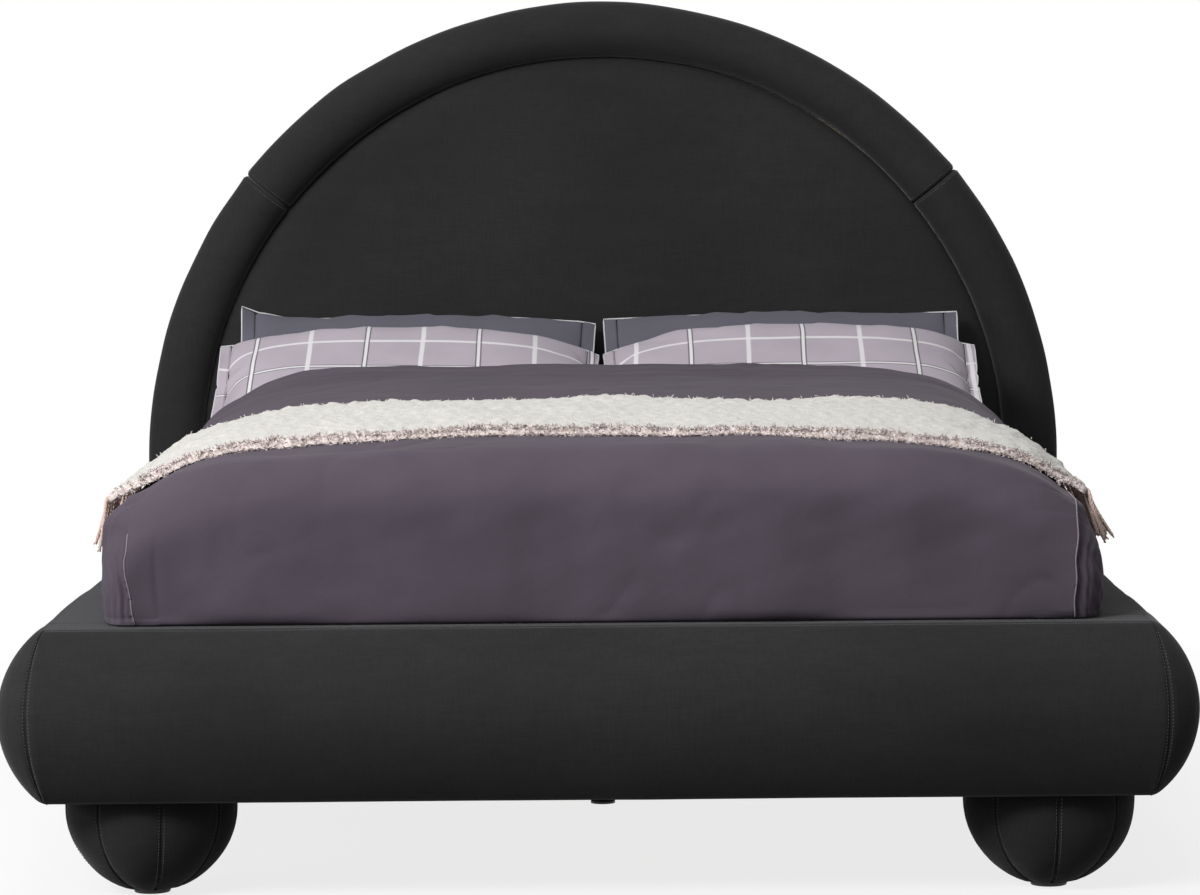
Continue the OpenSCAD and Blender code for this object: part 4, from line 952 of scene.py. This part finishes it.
def make_throw(duvet):
    """A fleece laid across the duvet, with tassels at its ends and loose yarns along its long edges."""
    tree = surface(duvet)
    pitch = 0.0062
    ys = np.linspace(*THROW_Y, int(0.47 / pitch) + 1)
    dense = duvet_section(-0.62, 80, 300)
    seg = way_along(dense)
    start = np.interp(THROW_HEM, dense[:380, 1], seg[:380])
    s = np.linspace(start, seg[-1] - start, int((seg[-1] - 2 * start) / pitch) + 1)
    order = np.arange(len(seg))
    share = np.interp(s, seg, order)
    sections = [[np.interp(share, order, v) for v in duvet_section(y, 80, 300).T] for y in ys]
    base = np.array([lattice(x, y, z) for y, (x, z) in zip(ys, sections)])
    base[:, :, 1] += 0.0032 * np.sin(base[:, :, 0] * 2.1 + 0.7) + 0.0016 * np.sin(base[:, :, 0] * 11)
    n = unit(np.cross(np.gradient(base, axis=0), np.gradient(base, axis=1)))
    n = (n * np.sign(n[:, :, 2].sum())).reshape(-1, 3)
    across, ends = (v.ravel() for v in mesh_grid(np.minimum(ys - ys[0], ys[-1] - ys), np.minimum(s - s[0], s[-1] - s)))
    p = base.reshape(-1, 3)
    under = drop(tree, p, n) + n * (0.0008 + 0.015 * np.exp(-ends / 0.045))[:, None]
    edge = rounding(np.minimum(across, ends + 0.002) / 0.012)
    pile = 0.0016 * waves(p, 0.022, 201) + 0.0009 * waves(p, 0.010, 202) + 0.0014 * waves(p, 0.12, 203)
    front = np.exp(-(p[:, 1] - ys[0]) / 0.030)
    top = under + n * ((0.0125 + pile + 0.0018 * front) * np.maximum(edge, 0.12))[:, None]
    bulge = (edge < 0.999) * 0.0012 * waves(p, 0.012, 204)
    top[:, 1] += bulge * np.sign(p[:, 1] - (ys[0] + ys[-1]) / 2) * (1 - edge)
    rows, cols = len(ys), len(s)
    g = grid(rows, cols)
    rim = np.r_[np.arange(cols), np.arange(1, rows) * cols + cols - 1, (rows - 1) * cols + np.arange(cols - 2, -1, -1),
                np.arange(rows - 2, 0, -1) * cols]
    after = np.roll(rim, -1)
    faces = np.vstack([g, g[:, ::-1] + rows * cols, lattice(rim, after, after + rows * cols, rim + rows * cols)])
    ob = build("throw_cloth", [(np.vstack([top, under]), faces)], "throw", ["throw"], "throw_cloth", weld=1e-7,
               mat=THROW)
    rng = np.random.default_rng(7)
    low, cloth, parts = under.reshape(base.shape), top.reshape(base.shape), []
    for side, j in ((1, 0), (-1, cols - 1)):
        for y in np.arange(ys[0] + 0.008, ys[-1] - 0.004, 0.0155):
            parts += tassel(tree, rng, low[np.argmin(abs(ys - y)), j], y, side)
    build("throw_fringe", parts, "throw", slot="throw_cloth", weld=1e-7, mat=FRINGE)
    parts = [yarn(rng, cloth, row, out_y, size)
             for row, count, out_y, size in ((0, 3600, -1, 0.0052), (rows - 1, 1500, 1, 0.0040))
             for _ in range(count)]
    build("throw_pile", parts, "throw", slot="throw_cloth", weld=1e-8, mat=THROW)


def flat_bag(w, h, step, seed):
    """Two sheets of cloth sewn together all round and barely filled, as points, faces and the upper sheet's lattice."""
    nx, ny = round(w / step), round(h / step)
    X, Y = mesh_grid(np.linspace(-w / 2, w / 2, nx + 1), np.linspace(0, h, ny + 1))
    rim = np.minimum(np.minimum(X + w / 2, w / 2 - X), np.minimum(Y, h - Y))
    lift = 0.020 * np.sqrt(ramp(rim / 0.04))
    lift += 0.002 * waves(lattice(X, Y, 0.0).reshape(-1, 3), 0.09, seed).reshape(X.shape) * ramp(rim / 0.02)
    up, down = lattice(X, Y, lift), lattice(X, Y, -lift)
    free = rim > 1e-9
    top = np.arange(X.size).reshape(X.shape)
    low = top.copy()
    low[free] = X.size + np.arange(free.sum())
    quads = lambda g: lattice(g[:-1, :-1], g[1:, :-1], g[1:, 1:], g[:-1, 1:]).reshape(-1, 4)
    return np.vstack([up.reshape(-1, 3), down[free]]), np.vstack([quads(top), quads(low)[:, ::-1]]), top


def swell(points, faces, pressure, frames):
    """Where the points of a closed cloth go as it fills with air."""
    scene = bpy.context.scene
    mesh = bpy.data.meshes.new("cloth")
    mesh.from_pydata(points.tolist(), [], faces.tolist())
    ob = add_object("cloth", mesh)
    mod = ob.modifiers.new("cloth", "CLOTH")
    c = mod.settings
    c.use_pressure, c.uniform_pressure_force, c.quality, c.mass = True, pressure, 5, 0.3
    c.effector_weights.gravity = 0
    mod.point_cache.frame_start, mod.point_cache.frame_end = 1, frames
    for f in range(1, frames + 1):
        scene.frame_set(f)
    out = vectors(ob.evaluated_get(bpy.context.evaluated_depsgraph_get()).data.vertices, "co")
    bpy.data.objects.remove(ob)
    bpy.data.meshes.remove(mesh)
    scene.frame_set(1)
    return out


def fill(p, top, w, h, far, above, below, crown, outer, inner, droop):
    """Brings the swollen case to its size, with its top seam raised in the middle and its corners bent."""
    low, high = p.min(0), p.max(0)
    p[:, 0] = (p[:, 0] - (low[0] + high[0]) / 2) * 2 * w / (high[0] - low[0])
    p[:, 1] = (p[:, 1] - low[1]) * h / (high[1] - low[1])
    ridge, ends = p[top[:, -1]].copy(), [p[top[k]].copy() for k in (0, -1)]
    p[:, 1] *= 1 + 0.85 * (h / np.interp(p[:, 0], ridge[:, 0], ridge[:, 1]) - 1)
    # the top seam and the sides come most of the way to straight lines
    edge_x = np.where(p[:, 0] < 0, *(np.interp(p[:, 1], e[:, 1], np.abs(e[:, 0])) for e in ends))
    p[:, 0] *= 1 + 0.7 * (w / edge_x - 1)
    x = p[:, 0] / w
    mid = crown * (1 - x ** 2).clip(0) * ramp(p[:, 1] / h) ** 2
    rise, fall = ramp(p[:, 2] / high[2]), ramp(p[:, 2] / low[2])
    full = rise ** 0.6 * (0.25 * rise ** 0.4 + 0.75 * np.sqrt(1 - ramp(np.abs(x)) ** 4))
    full *= 1 + droop * (far * x).clip(-1, 1)
    p[:, 2] = mid + (above - mid) * full - (below + mid) * fall ** 0.7
    for k, size, wide in ((far, outer, 0.055), (-far, inner, 0.110)):
        p[:, 2] += size * bell(np.hypot(p[:, 0] - k * w, p[:, 1] - h), wide)


def make_pillow(name, node, slot, w, h, tilt, above, below, at, seed, mat, flange, crown, outer, inner, droop):
    """A filled pillowcase with a flat stitched hem at each side and a white cord round its edge."""
    p, faces, top = flat_bag((w - 2 * flange) * 1.03, h * 1.03, 0.0105, seed)
    p = swell(p, faces, 2.0, 14)
    far = math.copysign(1, at[0])
    fill(p, top, w / 2 - flange, h, far, above, below, crown, outer, inner, droop)
    parts, hems, sewn = [(p, faces)], [], []
    for side, col in ((-1, top[0]), (1, top[-1])):
        rows = []
        for k in np.r_[-0.0015, np.linspace(0.001, flange, 4)]:
            row = p[col] + [side * k, 0, 0]
            bent = 0.8 * (outer if side == far else inner) * bell(row[:, 1] - h, 0.05)
            row[:, 2] += (0.0030 * waves(row, 0.09, seed + 9) + bent) * max(k, 0) / flange
            rows.append(row)
        hems.append(rows[-1])
        rows, thick = np.array(rows), lattice(0, 0, 0.0011 * np.r_[0.6, 1, 1, 1, 0.8])[:, None]
        parts.append(sheet(np.vstack([rows + thick, (rows - thick)[::-1]]), wrap_rows=True))
        line, up = rows[1] + [0, 0, 0.0012], np.tile([0, 0, 1.0], (len(col), 1))
        sewn.append(threads(line, up, 0.0075, 0.0048, 0.0008, 0.0003))
    edge = np.vstack([hems[0][::-1], p[top[1:-1, 0]], hems[1], p[top[-2:0:-1, -1]]])
    ob = build(name, parts, node, [node], slot, 1, weld=1e-7, mat=mat)
    cord = build(name + "_piping", [tube(edge, 0.0015, 6, closed=True)], node, slot=slot, weld=1e-8, mat=PIPING)
    sewing = build(name + "_stitching", sewn, node, slot=slot, close=False, weld=1e-8, mat=SLATE_THREAD)
    for piece in (ob, cord, sewing):
        piece.matrix_world = Matrix.Translation(at) @ Matrix.Rotation(math.radians(tilt), 4, "X")
        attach(piece, node)


def make_cotton(name, c, fine=0.0016):
    m = Mat(name, c, 0.88, Sheen_Weight=0.06, Sheen_Roughness=0.4, Specular_IOR_Level=0.12)
    h = m.noise(1 / fine, 1.0)
    soft = m.noise(7.0, 3.0)
    col = m.mix(m.band(soft, 0.3, 0.7), tone(c, 0.92), tone(c, 1.06))
    m.paint(m.mix(m.band(h, 0.35, 0.7, 0.0, 0.35), col, tone(c, 0.78)))
    m.bump(h, 0.0004, 0.35)
    m.bump(m.noise(46.0, 3.0), 0.0022, 0.30)
    return m


def check_line(m, v, phase, period, half):
    """One where v is within half a line's width of a line of this phase and period."""
    f = m.math("FRACT", m.math("ADD", m.math("DIVIDE", m.math("SUBTRACT", v, phase), period), 100.5))
    d = m.times(m.math("ABSOLUTE", m.math("SUBTRACT", f, 0.5)), period)
    return m.band(d, half * 0.75, half * 1.1, 1.0, 0.0)


def make_check(name, dark_x, white_x):
    ground, white, dark = srgb(180, 171, 181), srgb(226, 224, 226), srgb(66, 64, 70)
    m = make_cotton(name, ground, 0.0014)
    axes = m.node("SeparateXYZ", Vector=m.at).outputs
    wobble = m.times(m.math("SUBTRACT", m.noise(6.0, 1.0), 0.5), 0.006)
    col, period = m.color, 0.220
    for axis, dark_at, white_at in (("Y", 0.215, 0.325), ("X", dark_x, white_x)):
        v = m.math("ADD", axes[axis], wobble)
        for phase, half, much, line in ((white_at, 0.0048, 0.85, white), (dark_at, 0.0060, 0.85, dark),
                                        (dark_at, 0.0034, 0.95, white)):
            col = m.mix(m.times(check_line(m, v, phase, period, half), much), col, line)
    m.paint(col)
    return m.m


def make_fleece(name, c):
    m = Mat(name, c, 0.96, Sheen_Weight=0.35, Sheen_Roughness=0.55, Specular_IOR_Level=0.15)
    pile = m.noise(420.0, 3.0, 0.7)
    tuft = m.noise(95.0, 3.0, 0.6)
    col = m.mix(m.band(tuft, 0.35, 0.65), tone(c, 0.90), tone(c, 1.03))
    m.paint(m.mix(m.band(pile, 0.35, 0.6, 0.4, 0.0), col, tone(c, 0.75)))
    # loops crowd at the front edge; the band's rosier, darker tone is painted shade on the edge's thickness, and the
    # darker gaps between the loops are painted shade
    y = m.node("SeparateXYZ", Vector=m.at).outputs["Y"]
    front = m.band(m.math("ADD", y, m.times(tuft, 0.02)), -0.838, -0.815, 1.0, 0.0)
    loops = m.node("TexVoronoi", Vector=m.at, Scale=230.0).outputs["Distance"]
    # painted shade of the front edge, darkest in the gaps between the loops
    edge_shade = m.mix(m.band(loops, 0.25, 0.75), srgb(232, 222, 218), srgb(190, 172, 168))
    m.paint(m.mix(m.times(front, 0.9), m.color, edge_shade))
    m.bump(pile, 0.0010, 0.6)
    m.bump(tuft, 0.0030, 0.55)
    m.bump(m.times(loops, -1.0), 0.0022, 0.3)
    return m.m


DUVET = make_cotton("duvet_cotton", srgb(82, 74, 84), 0.0018).m
# a lighter purple than the duvet: a painted highlight along its rolled fold edges
EDGE = make_thread("duvet_edge_highlight", srgb(122, 112, 122))
THROW = make_fleece("fleece", srgb(214, 211, 205))
FRINGE = make_thread("fringe_yarn", srgb(208, 182, 172))
DARK = make_cotton("dark_cotton", srgb(98, 97, 107)).m
PIPING = make_thread("white_piping", srgb(206, 204, 206))
SLATE_THREAD = make_thread("slate_thread", srgb(60, 60, 68))
CHECK_L, CHECK_R = make_check("check_cotton_left", -0.078, 0.031), make_check("check_cotton_right", 0.023, -0.084)


def quilt(p, n):
    """Stitching in slanting lines that cross, wider apart on top than on the sides."""
    x, y, z = p.T
    off = lambda v, period: np.abs(v / period % 1 - 0.5) * period
    top = np.abs(n[:, 2])
    way = np.where(np.abs(n[:, 0]) > np.abs(n[:, 1]), y, x)
    above = np.maximum(bell(off(x + y, 0.19), 0.013), bell(off(x - y, 0.19), 0.013))
    beside = np.maximum(*(bell(off(way + v, 0.24), 0.012 * 0.24 / 0.17) for v in (z, -z)))
    return -0.0050 * above * ramp((top - 0.8) / 0.15) - 0.0034 * beside * ramp((0.2 - top) / 0.2) - 0.0004


def make_mattress():
    """The quilted cover: a soft box with its stitching drawn in, hollow round the foam."""
    r, core = MATTRESS_EDGE, MATTRESS_HALF - MATTRESS_EDGE
    axes = [steps([-c - r, -c, c, c + r], 0.0125) for c in core]
    parts = []
    for a in range(3):
        u, v = [k for k in range(3) if k != a]
        U, V = mesh_grid(axes[u], axes[v])
        for side in (-1, 1):
            p = np.empty(U.shape + (3,))
            p[..., u], p[..., v], p[..., a] = U, V, side * (core[a] + r)
            held = np.clip(p, -core, core)
            parts.append(sheet(held + unit(p - held) * r + MATTRESS_MID))
    outer = build("mattress_quilting", parts, "mattress", ["mattress_cover"], "ticking", weld=1e-5, mat=TICKING,
                  shape=quilt)
    both = bmesh.new()
    both.from_mesh(outer.data)
    foam = bpy.data.objects[NODES["mattress_core"].name]
    start = len(both.verts)
    both.from_mesh(foam.data)
    both.verts.ensure_lookup_table()
    world = foam.matrix_world
    for v in both.verts[start:]:
        v.co = world @ v.co
    both.faces.ensure_lookup_table()
    bmesh.ops.reverse_faces(both, faces=[f for f in both.faces if f.verts[0].index >= start])
    both.to_mesh(outer.data)
    both.free()
    shade_smooth(outer.data)


make_mattress()
make_throw(make_duvet())
FRONT_Y = float(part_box("pillow_front_left")[0][1]) - 0.0010
REAR = dict(slot="dark_cotton", h=0.430, tilt=29.0, above=0.026, below=0.056, mat=DARK, flange=0.024, crown=0.009,
            w=0.716)
FRONT = dict(slot="check_cotton", h=0.430, tilt=24.0, above=0.062, below=0.024, flange=0.019, crown=0.020)
for row, flank, own in (
        ("rear", "left", dict(REAR, at=(-0.370, 0.6362, 0.6344), seed=301, outer=0.020, inner=-0.008, droop=0.1)),
        ("rear", "right", dict(REAR, at=(0.362, 0.6362, 0.6344), seed=331, outer=0.007, inner=-0.002, droop=0.0)),
        ("front", "left", dict(FRONT, w=0.752, at=(-0.381, FRONT_Y, 0.6234), seed=361, outer=0.002, inner=-0.014,
                               droop=0.12, mat=CHECK_L)),
        ("front", "right", dict(FRONT, w=0.738, at=(0.373, FRONT_Y, 0.6234), seed=391, outer=-0.006, inner=-0.014,
                                droop=0.05, mat=CHECK_R))):
    make_pillow(f"{row}_pillow_{flank}", f"pillow_{row}_{flank}", **own)


# Floor, light and camera


def make_floor():
    mesh = bpy.data.meshes.new("floor")
    mesh.from_pydata([(-60, -60, 0), (60, -60, 0), (60, 60, 0), (-60, 60, 0)], [], [(0, 1, 2, 3)])
    m = Mat("pale_floor", (0.9, 0.9, 0.9), 0.8, Specular_IOR_Level=0.1)
    seen = m.seen()
    m.paint(m.mix(seen, (0.14, 0.14, 0.14), m.mix(m.noise(0.8), (0.89, 0.89, 0.89), (0.91, 0.91, 0.91))))
    # seen directly the floor fades from a soft shadow near the bed to plain white
    far = m.node("VectorMath", i0=m.scaled(1 / 1.9, 1 / 2.3, 0))
    far.operation = "LENGTH"
    share = m.band(far.outputs["Value"], 0.6, 1.35, 0.80, 1.0)
    white = m.node("Emission", Color=(1, 1, 1, 1), Strength=1.0).outputs[0]
    m.link(m.node("MixShader", i0=m.times(share, seen), i1=m.b.outputs[0], i2=white).outputs[0],
           m.t.nodes["Material Output"].inputs["Surface"])
    mesh.materials.append(m.m)
    add_object("floor", mesh)


def area(name, where, aim, size, power):
    light = bpy.data.lights.new(name, "AREA")
    light.shape, light.size, light.size_y, light.energy = "RECTANGLE", size[0], size[1], power
    ob = add_object(name, light)
    ob.location = where
    ob.rotation_mode = "QUATERNION"
    ob.rotation_quaternion = (Vector(aim) - Vector(where)).to_track_quat("-Z", "Y")


make_floor()
area("key", (-3.4, -5.2, 4.2), (-0.2, -0.5, 0.4), (2.4, 1.8), 370)
area("fill", (4.2, -5.2, 2.4), (0, 0, 0.5), (3.0, 3.0), 12)
area("side", (-5.0, -2.6, 1.3), (-0.8, -0.6, 0.5), (1.6, 1.6), 60)
area("top", (-0.4, -1.9, 4.8), (0, -0.2, 0.5), (3.0, 3.0), 85)
area("back", (0.5, 5.5, 3.6), (0, 1, 0.8), (4.0, 2.5), 30)

# plain white where the camera sees the surroundings, and a dim light from them on the bed
world = bpy.data.worlds.new("studio")
bpy.context.scene.world = world
tree = Tree(world)
dim, plain = tree.t.nodes["Background"], tree.node("Background", Color=(1, 1, 1, 1), Strength=1.0)
tree.feed(dim.inputs["Color"], (1, 1, 1, 1))
tree.feed(dim.inputs["Strength"], 0.17)
tree.link(tree.node("MixShader", i0=tree.seen(), i1=dim.outputs[0], i2=plain.outputs[0]).outputs[0],
          tree.t.nodes["World Output"].inputs["Surface"])

SENSOR, FOCAL, PHOTO_W = 36.0, 4440.8, 1200.0    # the sensor in mm, the focal length and the picture's width in pixels
lens = bpy.data.cameras.new("camera")
lens.sensor_width, lens.lens = SENSOR, FOCAL * SENSOR / PHOTO_W
lens.clip_start, lens.clip_end = 0.1, 200.0
camera = add_object("camera", lens)
pitch, yaw, roll = (math.radians(v) for v in (-3.711, 0.33, -0.519))
camera.matrix_world = (Matrix.Translation((0.0465, -7.9963, 1.1642)) @ Matrix.Rotation(yaw, 4, "Z")
                       @ Matrix.Rotation(math.pi / 2 + pitch, 4, "X") @ Matrix.Rotation(roll, 4, "Z"))
bpy.context.scene.camera = camera
bpy.context.scene.view_settings.view_transform = "Standard"
